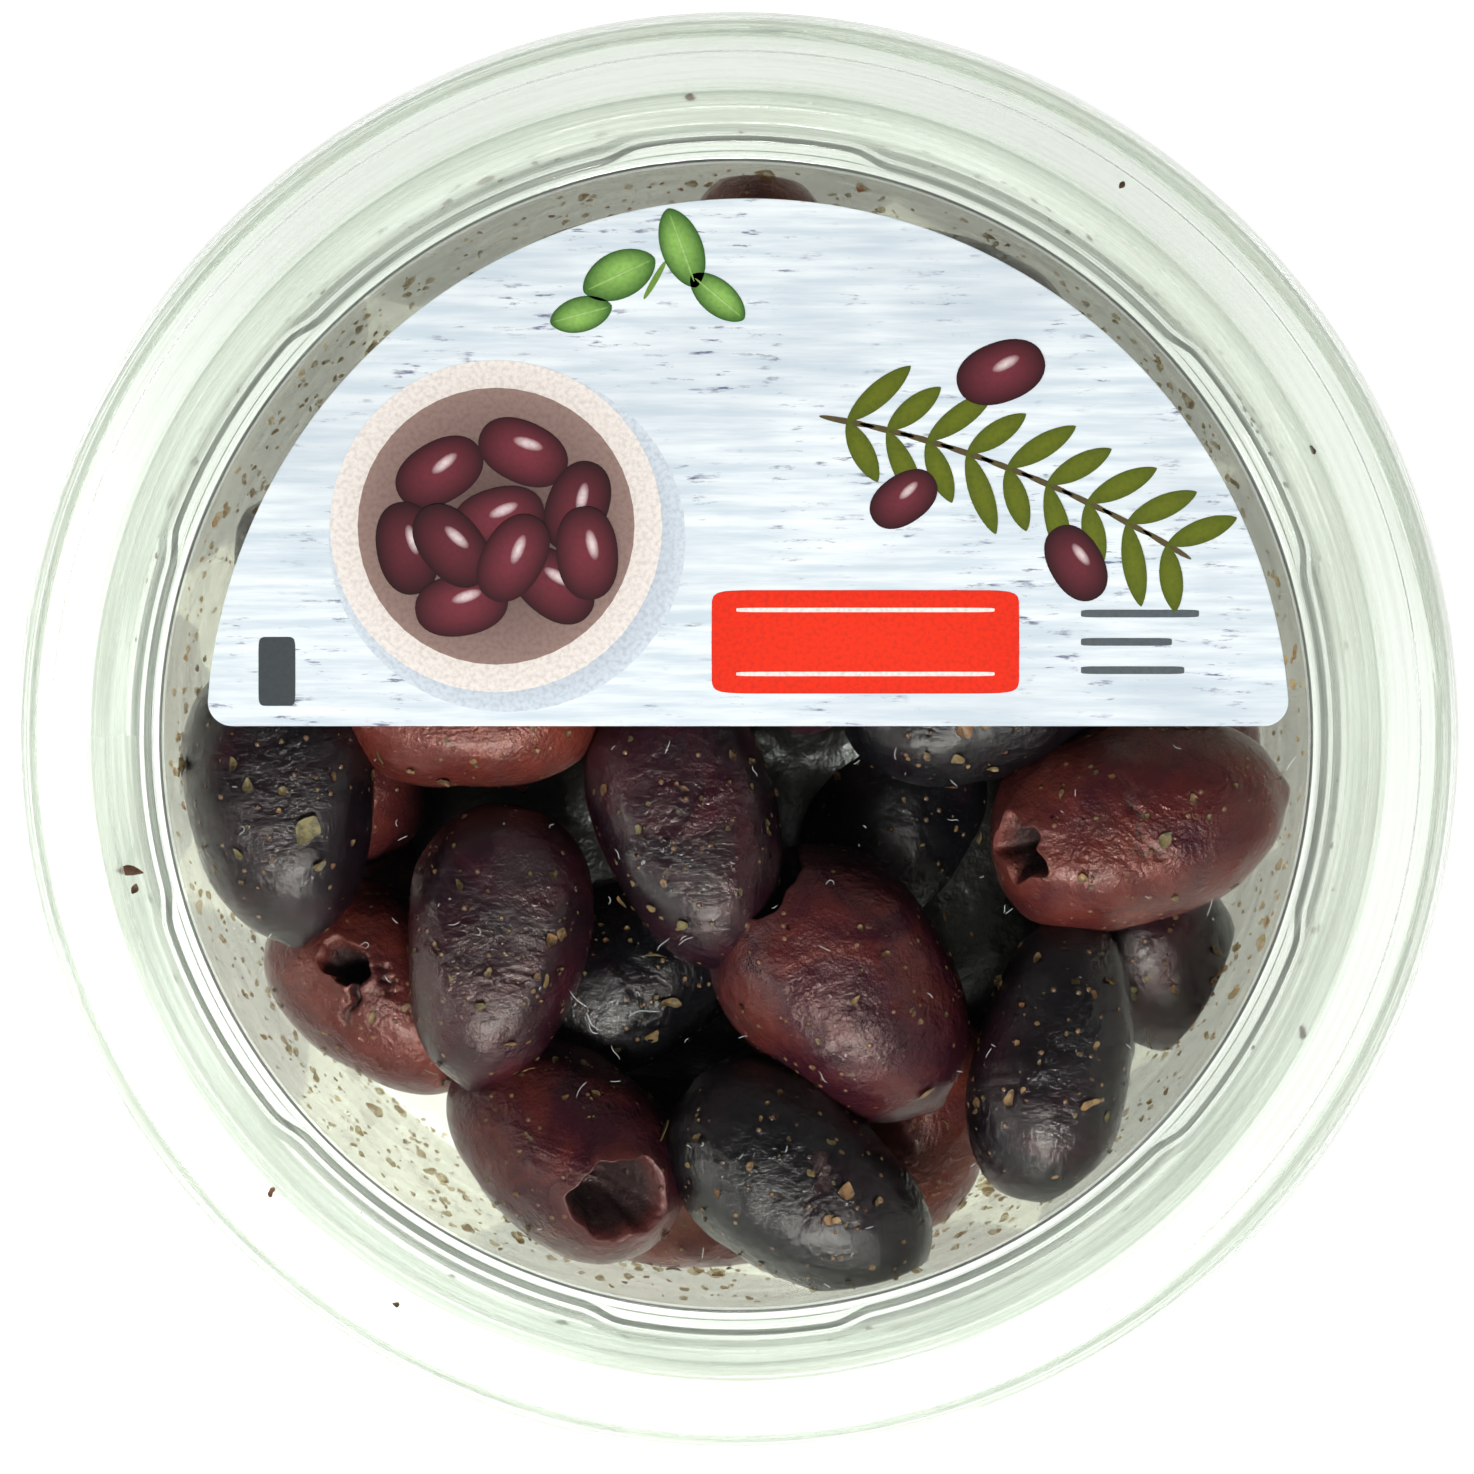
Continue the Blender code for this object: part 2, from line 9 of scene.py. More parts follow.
import bpy
import numpy as np
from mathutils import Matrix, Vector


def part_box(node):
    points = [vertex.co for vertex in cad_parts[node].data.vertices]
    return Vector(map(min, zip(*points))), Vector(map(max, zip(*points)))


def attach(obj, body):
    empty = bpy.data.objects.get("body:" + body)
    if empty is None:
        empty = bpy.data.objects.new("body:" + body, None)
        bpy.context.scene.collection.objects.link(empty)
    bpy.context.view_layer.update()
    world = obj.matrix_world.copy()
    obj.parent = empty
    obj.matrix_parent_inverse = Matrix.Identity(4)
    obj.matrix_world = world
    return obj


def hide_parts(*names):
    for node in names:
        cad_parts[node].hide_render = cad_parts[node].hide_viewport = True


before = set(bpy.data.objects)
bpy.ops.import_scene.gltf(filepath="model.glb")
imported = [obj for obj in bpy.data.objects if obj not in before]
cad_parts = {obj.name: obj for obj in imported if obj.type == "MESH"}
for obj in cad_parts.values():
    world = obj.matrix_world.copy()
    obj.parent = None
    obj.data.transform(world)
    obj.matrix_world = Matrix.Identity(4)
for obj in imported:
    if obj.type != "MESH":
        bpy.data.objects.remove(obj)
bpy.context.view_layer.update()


# Camera
# It stands straight above the lid, with the label away from it, so far off that the rim and the floor of
# the tub keep nearly one scale. The frame is a little wider than the lid.

MM = 0.001
rim_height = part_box("lid")[1][2]
CAMERA_RISE = 0.60
FRAME_WIDTH = 119.13 * MM
CAMERA_X = 0.07 * MM
CAMERA_Y = -0.12 * MM
SENSOR = 36.0

camera = bpy.data.objects.new("camera", bpy.data.cameras.new("camera"))
camera.data.sensor_width = SENSOR
camera.data.lens = SENSOR * CAMERA_RISE / FRAME_WIDTH
camera.data.clip_end = 10.0
camera.location = (CAMERA_X, CAMERA_Y, rim_height + CAMERA_RISE)
bpy.context.scene.collection.objects.link(camera)
bpy.context.scene.camera = camera
bpy.context.scene.view_settings.view_transform = "Standard"

# The clear shells need many steps through them, and everything else few
light_paths = bpy.context.scene.cycles
light_paths.max_bounces = 9
light_paths.diffuse_bounces = 1
light_paths.glossy_bounces = 2
light_paths.transmission_bounces = 9
light_paths.transparent_max_bounces = 12
light_paths.caustics_reflective = False
light_paths.caustics_refractive = False


# Floor and light
# A white table that glows like a light box, with soft lamps low at the front, the sides and the back. What
# stands straight above stays dark, so that the lid's flat panel mirrors nothing bright.

FLOOR_HALF = 1.5
FLOOR_GLOW = (0.94, 1.60)


def node_tree(name):
    """A new material and its tree, emptied."""
    made = bpy.data.materials.new(name)
    made.use_nodes = True
    made.node_tree.nodes.clear()
    return made, made.node_tree


def finished(made, shader):
    """The material with a shader as its surface."""
    output = made.node_tree.nodes.new("ShaderNodeOutputMaterial")
    made.node_tree.links.new(shader.outputs[0], output.inputs["Surface"])
    return made


def add_node(tree, kind, inputs=None, **settings):
    """One shader node with its settings, and its inputs set to values or linked to sockets."""
    node = tree.nodes.new(kind)
    for key, value in settings.items():
        setattr(node, key, value)
    for key, value in (inputs or {}).items():
        if isinstance(value, bpy.types.NodeSocket):
            tree.links.new(value, node.inputs[key])
        else:
            node.inputs[key].default_value = value
    return node


def object_place(tree):
    """Each point's place in the object's own coordinates."""
    return add_node(tree, "ShaderNodeTexCoord").outputs["Object"]


def computed(tree, operation, *values):
    """What arithmetic makes of one to three values."""
    return add_node(tree, "ShaderNodeMath", dict(enumerate(values)), operation=operation).outputs[0]


def along_direction(tree, where, direction):
    """How far a place lies along a direction."""
    dotted = add_node(tree, "ShaderNodeVectorMath", {0: where, 1: direction}, operation="DOT_PRODUCT")
    return dotted.outputs["Value"]


def spread(tree, value, low, high, to_low=0.0, to_high=1.0, kind="SMOOTHSTEP"):
    """A value's span from low to high, drawn out to another span, smoothly unless kind is LINEAR."""
    return add_node(tree, "ShaderNodeMapRange", {
        "Value": value, "From Min": low, "From Max": high, "To Min": to_low, "To Max": to_high,
    }, interpolation_type=kind).outputs[0]


def mesh_object(name, points, faces, smooth=True):
    """A mesh object at the origin, from an array of points and one or more arrays of faces."""
    mesh = bpy.data.meshes.new(name)
    groups = faces if isinstance(faces, (list, tuple)) else [faces]
    all_faces = [face for group in groups for face in group.tolist()]
    mesh.from_pydata(np.asarray(points).tolist(), [], all_faces)
    mesh.polygons.foreach_set("use_smooth", np.full(len(mesh.polygons), smooth))
    mesh.update()
    made = bpy.data.objects.new(name, mesh)
    bpy.context.scene.collection.objects.link(made)
    return made


def table_finish():
    """White board lit from within, more at the near left than at the far right of the tub."""
    made, tree = node_tree("white_table")
    grain = add_node(tree, "ShaderNodeTexNoise", {"Scale": 40.0, "Detail": 3.0}).outputs["Fac"]
    tone = spread(tree, grain, 0.0, 1.0, 0.30, 0.34, "LINEAR")
    near_left = along_direction(tree, object_place(tree), (-0.70, -0.72, 0.0))
    shader = add_node(tree, "ShaderNodeBsdfPrincipled", {
        "Base Color": add_node(tree, "ShaderNodeCombineColor", {0: tone, 1: tone, 2: tone}).outputs[0],
        "Roughness": 0.9, "Specular IOR Level": 0.1, "Emission Color": (1.0, 1.0, 1.0, 1.0),
        "Emission Strength": spread(tree, near_left, -0.01, 0.07, *FLOOR_GLOW),
    })
    return finished(made, shader)


floor_corners = np.array([(-1, -1, 0), (1, -1, 0), (1, 1, 0), (-1, 1, 0)]) * FLOOR_HALF
floor = mesh_object("floor", floor_corners, np.array([(0, 1, 2, 3)]), smooth=False)
floor.data.materials.append(table_finish())
floor.data.materials[0].cycles.emission_sampling = "NONE"


def soft_lamp(name, place, size, power):
    """A rectangular area lamp that faces the tub."""
    lamp = bpy.data.lights.new(name, "AREA")
    lamp.shape = "RECTANGLE"
    lamp.size, lamp.size_y = size
    lamp.energy = power
    made = bpy.data.objects.new(name, lamp)
    made.location = place
    made.rotation_euler = made.location.to_track_quat("Z", "Y").to_euler()
    bpy.context.scene.collection.objects.link(made)


soft_lamp("lamp_front", (0.03, -0.40, 0.56), (0.20, 0.15), 5.0)
soft_lamp("lamp_left", (-0.68, -0.30, 0.36), (0.18, 0.26), 2.4)
soft_lamp("lamp_right", (0.66, -0.05, 0.42), (0.30, 0.40), 0.5)
soft_lamp("lamp_back", (0.05, 0.70, 0.45), (0.60, 0.26), 0.25)

world = bpy.data.worlds.new("studio")
world.use_nodes = True
world_tree = world.node_tree
sky = world_tree.nodes["Background"]
sky.inputs["Color"].default_value = (1.0, 1.0, 1.0, 1.0)
direction = add_node(world_tree, "ShaderNodeTexCoord").outputs["Generated"]
height = add_node(world_tree, "ShaderNodeSeparateXYZ", {0: direction}).outputs["Z"]
fade = spread(world_tree, height, 0.10, 0.52, 1.0, 0.012)
near_left = along_direction(world_tree, direction, (-0.64, -0.77, 0.0))
side = spread(world_tree, near_left, 0.0, 1.0, 0.60, 1.7, "LINEAR")
world_tree.links.new(computed(world_tree, "MULTIPLY", fade, side), sky.inputs["Strength"])
bpy.context.scene.world = world


# Tub
# A thin-walled pot of clear plastic, moulded in one piece: floor with a ring groove, drafted wall, a step
# with six stacking lugs, and a flat flange with a turned-down edge. It stands on its floor.

TUB_WALL = 0.7 * MM
FLOOR_THICKNESS = 0.8 * MM
FLOOR_RADIUS = 43.0 * MM
FLOOR_FILLET = 2.2 * MM
BASE_FILLET = 2.8 * MM
GROOVE_RADII = (30.4 * MM, 38.0 * MM)
GROOVE_DEPTH = 0.35 * MM
GROOVE_SLOPE = 0.5 * MM
WALL_TOP_RADIUS = 46.9 * MM
WALL_TOP = 42.3 * MM
STEP_RADIUS = 48.1 * MM
STEP_HEIGHT = 43.5 * MM
STEP_DRAFT = 0.4 * MM
UNDERSIDE_DROP = 0.3 * MM
LEDGE_HEIGHT = 44.8 * MM
LEDGE_RADIUS = 50.7 * MM
FLANGE_HEIGHT = 46.6 * MM
FLANGE_INNER_RADIUS = 51.5 * MM
FLANGE_RADIUS = 57.7 * MM
FLANGE_FILLET = 0.9 * MM
FLANGE_TURN_DOWN = 1.7 * MM
SMALL_STEP = 0.2 * MM
SMALL_FILLET = 0.16 * MM
HOLD = 0.03 * MM

LUG_COUNT = 6
LUG_TURN = 29.1
LUG_PUSH = 0.65 * MM
LUG_HALF_SPAN = 10.2
LUG_END_SLOPE = 4.0
AROUND = 360
ARC_STEP = 15.0

# Radii between which the plastic turns milky, and the factor at each share of the way between them
MILKY_RADII = (46.0 * MM, 60.0 * MM)
MILKY_FACTORS = (
    (0.07, 0.0), (0.11, 1.0), (0.20, 1.0), (0.26, 2.4), (0.42, 2.4), (0.50, 0.33), (0.72, 0.33), (0.78, 1.3),
    (1.0, 1.3),
)


def rounded_outline(corners):
    """The outline's points (radius, height, lug share), with an arc at each corner.

    A corner of half angle h and fillet f has its arc's middle f / sin(h) along the bisector, and the arc
    starts and ends f / tan(h) from the corner. A close point on each side of the arc holds the flats flat.
    """
    points = []
    count = len(corners)
    for i, (radius, height_here, fillet, lug) in enumerate(corners):
        here = np.array((radius, height_here))
        if fillet == 0.0:
            points.append((*here, lug))
            continue
        before = np.array(corners[i - 1][:2]) - here
        after = np.array(corners[(i + 1) % count][:2]) - here
        before_length, after_length = np.linalg.norm(before), np.linalg.norm(after)
        before, after = before / before_length, after / after_length
        half = 0.5 * math.acos(float(np.clip(before @ after, -1.0, 1.0)))
        reach = min(fillet / math.tan(half), 0.42 * before_length, 0.42 * after_length)
        fillet = reach * math.tan(half)
        middle = here + (before + after) / np.linalg.norm(before + after) * fillet / math.sin(half)
        start, end = here + before * reach - middle, here + after * reach - middle
        turn = math.pi - 2.0 * half
        steps = max(2, math.ceil(math.degrees(turn) / ARC_STEP))
        part = np.linspace(0.0, 1.0, steps + 1)[:, None]
        arc = middle + (np.sin((1.0 - part) * turn) * start + np.sin(part * turn) * end) / math.sin(turn)
        held = np.vstack((arc[0] + before * HOLD, arc, arc[-1] + after * HOLD))
        points.extend((*point, lug) for point in held)
    return np.array(points)


def lug_push(angles):
    """How far out the step stands at each angle: full over a lug, falling by a smoothstep at its ends."""
    spacing = 360.0 / LUG_COUNT
    off = np.abs((np.degrees(angles) - LUG_TURN + 0.5 * spacing) % spacing - 0.5 * spacing)
    share = np.clip((LUG_HALF_SPAN + LUG_END_SLOPE - off) / LUG_END_SLOPE, 0.0, 1.0)
    return LUG_PUSH * share * share * (3.0 - 2.0 * share)


def ring_quads(rings, sides):
    """Quads between rings of points that close on themselves, ring after ring."""
    rows, columns = np.meshgrid(np.arange(rings - 1), np.arange(sides), indexing="ij")
    near, far = rows * sides + columns, rows * sides + (columns + 1) % sides
    return np.stack((near, near + sides, far + sides, far), axis=-1).reshape(-1, 4)


def ball_faces(rings, sides):
    """Faces of a grid of rings whose last two points are its poles: quads, and a fan at each pole."""
    ring, last = np.arange(sides), (rings - 1) * sides
    first_fan = np.stack((np.full(sides, rings * sides), ring, (ring + 1) % sides), axis=-1)
    last_fan = np.stack((np.full(sides, rings * sides + 1), last + (ring + 1) % sides, last + ring), axis=-1)
    return [ring_quads(rings, sides), first_fan, last_fan]


def turned_grid(outline, relief=None):
    """Points and faces of an outline turned about Z: (r + lug * push) * (cos a, sin a) at height z.

    The outline starts and ends on the axis, where each ring of points shrinks to one. relief, if given, adds
    a height to each point from its angle and its place in the outline.
    """
    angles = np.linspace(0.0, 2.0 * math.pi, AROUND, endpoint=False)
    body = outline[1:-1]
    radii = body[:, None, 0] + body[:, None, 2] * lug_push(angles)
    heights = np.repeat(body[:, 1:2], AROUND, axis=1)
    if relief is not None:
        heights = heights + relief(radii, heights, angles)
    points = np.stack((radii * np.cos(angles), radii * np.sin(angles), heights), axis=-1).reshape(-1, 3)
    points = np.vstack((points, (0.0, 0.0, outline[0, 1]), (0.0, 0.0, outline[-1, 1])))
    return points, ball_faces(len(body), AROUND)


def noise(tree, where, scale, detail=3.0, roughness=0.5, distortion=0.0):
    """A noise over a place."""
    return add_node(tree, "ShaderNodeTexNoise", {
        "Vector": where, "Scale": scale, "Detail": detail, "Roughness": roughness, "Distortion": distortion,
    }).outputs["Fac"]


def colour_ramp(tree, value, *stops):
    """The colour at a value between stops, each a position and a colour, the first and last at the ends."""
    node = add_node(tree, "ShaderNodeValToRGB", {"Fac": value})
    elements = node.color_ramp.elements
    for element, (position, colour) in ((elements[0], stops[0]), (elements[1], stops[-1])):
        element.position, element.color = position, (*colour, 1.0)
    for position, colour in stops[1:-1]:
        elements.new(position).color = (*colour, 1.0)
    return node.outputs[0]


def mixed_shader(tree, share, first, second):
    """The shader that goes from the first to the second by a share."""
    return add_node(tree, "ShaderNodeMixShader", {0: share, 1: first.outputs[0], 2: second.outputs[0]})


def unrolled(tree, where, second, scale):
    """A flat place made of the angle about Z and a second measure, each times its scale."""
    apart = add_node(tree, "ShaderNodeSeparateXYZ", {0: where})
    turn = computed(tree, "ARCTAN2", apart.outputs[1], apart.outputs[0])
    flat = add_node(tree, "ShaderNodeCombineXYZ", {0: turn, 1: second}).outputs[0]
    return add_node(tree, "ShaderNodeMapping", {0: flat, 3: scale}).outputs[0]


def clear_plastic(name, tint, ior, wave_scale, wave, fog):
    """Clear moulded plastic: refracting, let through by lamps and by scattered light, faintly uneven.

    It is milky by the share fog, times a factor that changes over the distance from the axis, in smears that
    run round it. The milk throws part of the light back and lets the rest through from behind.
    """
    made, tree = node_tree(name)
    where = object_place(tree)
    waves = noise(tree, where, wave_scale, 3.0, 0.6)
    bump = add_node(tree, "ShaderNodeBump", {"Height": waves, "Strength": wave, "Distance": 0.0004})
    flat = add_node(
        tree, "ShaderNodeVectorMath", {0: where, 1: (1.0, 1.0, 0.0)}, operation="MULTIPLY",
    ).outputs[0]
    reach = add_node(tree, "ShaderNodeVectorMath", {0: flat}, operation="LENGTH").outputs["Value"]
    milky = colour_ramp(tree, spread(tree, reach, *MILKY_RADII, 0.0, 1.0, "LINEAR"), *(
        (position, (times * fog,) * 3) for position, times in MILKY_FACTORS
    ))
    smears = noise(tree, unrolled(tree, where, reach, (2.2, 2400.0, 1.0)), 1.0, 4.0, 0.6)
    share = computed(tree, "MULTIPLY", milky, spread(tree, smears, 0.42, 0.66, 0.6, 1.6, "LINEAR"))
    residue = colour_ramp(tree, smears, (0.42, (0.88, 0.93, 0.86)), (0.66, (0.50, 0.50, 0.44)))
    dried = add_node(tree, "ShaderNodeBsdfPrincipled", {"Base Color": residue, "Roughness": 0.6})
    lit_through = add_node(tree, "ShaderNodeBsdfTranslucent", {"Color": (0.93, 0.97, 0.92, 1.0)})
    glass = add_node(tree, "ShaderNodeBsdfPrincipled", {
        "Base Color": (*tint, 1.0), "Roughness": 0.03, "IOR": ior, "Transmission Weight": 1.0,
        "Normal": bump.outputs["Normal"],
    })
    clear = add_node(tree, "ShaderNodeBsdfTransparent", {"Color": (*tint, 1.0)})
    path = add_node(tree, "ShaderNodeLightPath")
    passing = computed(tree, "MAXIMUM", path.outputs["Is Shadow Ray"], path.outputs["Is Diffuse Ray"])
    bare = mixed_shader(tree, passing, glass, clear)
    return finished(made, mixed_shader(tree, share, bare, mixed_shader(tree, 0.6, dried, lit_through)))


flange_under = FLANGE_HEIGHT - TUB_WALL
tub_corners = [
    (0.0, FLOOR_THICKNESS, 0.0, 0.0),
    (FLOOR_RADIUS, FLOOR_THICKNESS, FLOOR_FILLET, 0.0),
    (WALL_TOP_RADIUS, WALL_TOP, 0.6 * MM, 0.0),
    (STEP_RADIUS, STEP_HEIGHT, 0.4 * MM, 1.0),
    (STEP_RADIUS + STEP_DRAFT, LEDGE_HEIGHT, SMALL_FILLET, 1.0),
    (LEDGE_RADIUS, LEDGE_HEIGHT, SMALL_FILLET, 0.0),
    (FLANGE_INNER_RADIUS, FLANGE_HEIGHT, 0.4 * MM, 0.0),
    (FLANGE_RADIUS - SMALL_STEP, FLANGE_HEIGHT, FLANGE_FILLET, 0.0),
    (FLANGE_RADIUS, FLANGE_HEIGHT - FLANGE_TURN_DOWN, SMALL_FILLET, 0.0),
    (FLANGE_RADIUS - TUB_WALL, FLANGE_HEIGHT - FLANGE_TURN_DOWN, SMALL_FILLET, 0.0),
    (FLANGE_RADIUS - SMALL_STEP - TUB_WALL, flange_under, 0.3 * MM, 0.0),
    (FLANGE_INNER_RADIUS + TUB_WALL, flange_under, 0.3 * MM, 0.0),
    (LEDGE_RADIUS + TUB_WALL, LEDGE_HEIGHT - TUB_WALL, 0.5 * MM, 0.0),
    (STEP_RADIUS + STEP_DRAFT + TUB_WALL, LEDGE_HEIGHT - TUB_WALL, SMALL_FILLET, 1.0),
    (STEP_RADIUS + TUB_WALL, STEP_HEIGHT - UNDERSIDE_DROP, 0.5 * MM, 1.0),
    (WALL_TOP_RADIUS + TUB_WALL, WALL_TOP - UNDERSIDE_DROP, 0.8 * MM, 0.0),
    (FLOOR_RADIUS + TUB_WALL, 0.0, BASE_FILLET, 0.0),
    (GROOVE_RADII[1], 0.0, SMALL_FILLET, 0.0),
    (GROOVE_RADII[1] - GROOVE_SLOPE, GROOVE_DEPTH, SMALL_FILLET, 0.0),
    (GROOVE_RADII[0] + GROOVE_SLOPE, GROOVE_DEPTH, SMALL_FILLET, 0.0),
    (GROOVE_RADII[0], 0.0, SMALL_FILLET, 0.0),
    (0.0, 0.0, 0.0, 0.0),
]
tub = mesh_object("tub_shell", *turned_grid(rounded_outline(tub_corners)))
tub.data.materials.append(clear_plastic("clear_tub_plastic", (0.955, 0.98, 0.945), 1.49, 30.0, 0.15, 0.15))
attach(tub, "root")
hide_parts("tub")


# Oil film
# What the marinade leaves on the plastic: a thin streaky film of oil and brine on the inside of the wall and
# over the floor. It clings to the tub.

FILM_OFF = 0.12 * MM
FILM_TOP = 41.6 * MM
FILM_FLOOR = 1.0 * MM
FILM_SIDES = 180


def wall_radius(heights):
    """Inside radius of the tub's wall, a straight line over height."""
    draft = (WALL_TOP_RADIUS - FLOOR_RADIUS) / (WALL_TOP - FLOOR_THICKNESS)
    return FLOOR_RADIUS + draft * (heights - FLOOR_THICKNESS)


def film_shell():
    """The film's grid: a disc over the floor, an arc into the corner, and the wall's line up to the step."""
    floor_radii = np.linspace(0.0, FLOOR_RADIUS - FLOOR_FILLET, 12)[1:]
    bend = np.linspace(0.0, 0.5 * math.pi, 7)[1:]
    corner = FLOOR_FILLET - FILM_OFF
    heights = np.linspace(FILM_FLOOR + corner, FILM_TOP, 40)
    bend_radii = FLOOR_RADIUS - FLOOR_FILLET + corner * np.sin(bend)
    radii = np.concatenate((floor_radii, bend_radii, wall_radius(heights) - FILM_OFF))
    bend_levels = FILM_FLOOR + corner * (1.0 - np.cos(bend))
    levels = np.concatenate((np.full(len(floor_radii), FILM_FLOOR), bend_levels, heights))[:, None]
    angles = np.linspace(0.0, 2.0 * math.pi, FILM_SIDES, endpoint=False)
    x, y = radii[:, None] * np.cos(angles), radii[:, None] * np.sin(angles)
    points = np.stack((x, y, np.repeat(levels, FILM_SIDES, axis=1)), axis=-1).reshape(-1, 3)
    ring = np.arange(FILM_SIDES)
    fan = np.stack((np.full(FILM_SIDES, len(points)), ring, (ring + 1) % FILM_SIDES), axis=-1)
    quads = ring_quads(len(radii), FILM_SIDES)[:, ::-1]
    return np.vstack((points, (0.0, 0.0, FILM_FLOOR))), [quads, fan]


def oily_film():
    """Beige haze, mostly clear, in streaks that run round the tub and in small blots."""
    made, tree = node_tree("oily_film")
    where = object_place(tree)
    level = add_node(tree, "ShaderNodeSeparateXYZ", {0: where}).outputs[2]
    streaks = noise(tree, unrolled(tree, where, level, (7.0, 300.0, 1.0)), 1.0, 5.0, 0.62)
    blots = noise(tree, where, 160.0, 4.0)
    share = spread(tree, computed(tree, "ADD", streaks, blots), 0.70, 1.40, 0.03, 0.34, "LINEAR")
    tone = colour_ramp(tree, blots, (0.3, (0.60, 0.57, 0.46)), (0.7, (0.84, 0.82, 0.70)))
    haze = add_node(tree, "ShaderNodeBsdfPrincipled", {"Base Color": tone, "Roughness": 0.35})
    clear = add_node(tree, "ShaderNodeBsdfTransparent", {"Color": (0.85, 0.845, 0.785, 1.0)})
    return finished(made, mixed_shader(tree, share, clear, haze))


film = mesh_object("oil_film", *film_shell())
film.data.materials.append(oily_film())
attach(film, "root")


# Olives
# Some fifty dark Greek olives, pitted and cured, loose in the tub and pressed flat a little where they meet
# its wall and the lid. Those that show through the lid are placed one by one, and the others settle below.

GAP = 0.3 * MM
HEAP_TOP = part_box("olives")[1][2]
ROOM_TOP = 43.5 * MM
HEAP_BOTTOM = FLOOR_THICKNESS + GAP
OLIVE_FULLNESS = 2.25
OLIVE_BLUNTNESS = 0.09
PIT_DEPTH = 6.0 * MM
PULP_LUMP = 1.3 * MM
LIP_WIDTH = 0.8 * MM
LIP_RISE = 0.25 * MM
HOLE_STAR = 0.07
TORN_STAR, TORN_OLIVE = 0.17, 9
FLATTENED = 1.3 * MM
END_BALL = 0.78
SETTLE_ROUNDS = 240
SETTLE_RATE = 0.45
SEEN_SINK_RATE = 0.08
SEED = 7

# Height, and reach in radians, of the tip at the blossom end and of the dimple at the stem end
BLOSSOM_TIP = (0.7 * MM, 0.10)
STEM_DIMPLE = (0.6 * MM, 0.09)

# Lumps of the skin: height and size (mm), and seed
SKIN_LUMPS = ((0.42, 7.0, 40), (0.15, 2.6, 90), (0.05, 0.9, 140))

# Middle (mm), depth of the top under the lid, length and width (mm), turn and rise of the blossom end,
# tip and opening of the pit hole (degrees), and redness of the skin from 0, black, to 1
seen_olives = np.array([
    (-37.4, -5.0, 1.0, 23.5, 15.4, -84, 0, 0, 0, 0.16),
    (-22.2, 3.8, 0.5, 22.5, 16.5, -12, 0, 0, 0, 0.80),
    (-19.8, -17.0, 0.0, 23.8, 15.0, -99, 0, 0, 0, 0.42),
    (-29.4, -21.2, 8.0, 21.5, 14.0, -40, 0, 62, 14, 0.70),
    (-14.2, -34.0, 3.0, 22.6, 15.4, 139, -10, 42, 22, 0.52),
    (-3.8, -7.6, 1.0, 24.0, 15.0, -74, 0, 0, 0, 0.30),
    (9.0, -20.6, 0.0, 24.5, 18.3, -53, -8, 14, 19, 0.54),
    (13.0, -7.0, 8.0, 22.0, 15.0, 60, 0, 0, 0, 0.00),
    (19.5, 3.8, 2.5, 22.0, 15.5, 10, 0, 0, 0, 0.05),
    (33.0, -7.2, 0.0, 25.0, 17.0, 12, 0, 30, 13, 0.70),
    (26.1, -26.8, 2.5, 23.5, 12.8, 80, 0, 0, 0, 0.12),
    (34.0, -17.0, 8.0, 21.0, 15.0, -60, 0, 0, 0, 0.26),
    (5.2, -37.0, 2.5, 24.0, 15.2, -38, 0, 0, 0, 0.00),
    (14.8, -32.6, 9.0, 20.0, 13.5, 70, 20, 0, 0, 0.78),
    (-3.4, -37.6, 13.0, 22.0, 15.0, 0, 0, 0, 0, 0.70),
    (-8.0, -19.5, 10.0, 22.0, 15.0, 30, 0, 0, 0, 0.00),
    (34.2, 10.2, 2.5, 22.5, 15.0, 14, 0, 0, 0, 0.30),
    (27.8, 25.0, 2.5, 23.0, 15.5, 131, 0, 0, 0, 0.10),
    (16.6, 33.6, 1.0, 23.0, 16.0, 157, 0, 0, 0, 0.15),
    (1.6, 36.2, 1.0, 21.5, 14.5, 88, 20, 0, 0, 0.65),
    (-17.4, 29.8, 1.0, 23.5, 16.0, 30, 0, 0, 0, 0.20),
    (-30.8, 13.4, 2.0, 22.5, 15.5, 156, 0, 0, 0, 0.15),
    (13.0, 18.8, 3.0, 21.0, 15.0, 30, 0, 20, 18, 0.55),
    (-3.6, 15.6, 1.0, 22.0, 14.5, 96, 0, 0, 0, 0.35),
    (-19.0, 19.0, 5.0, 20.5, 14.0, 12, 0, 0, 0, 0.60),
])

# Rows below: how many, distance from the axis and height (mm), and first angle
lower_rows = ((10, 36.0, 22.0, -2), (3, 14.0, 22.0, 40), (10, 34.5, 9.5, 20), (3, 15.0, 9.5, 90))
LOWER_LENGTH = (20.5, 24.0)
LOWER_WIDTH = (14.8, 16.8)
LOWER_RISE = 0.6
ROW_JITTER = 4.0

# One settled olive lies farther from the wall (mm), so that the floor shows at the near left
DRAWN_IN = 32
DRAWN_IN_BY = (4.0, 6.0, 0.0)


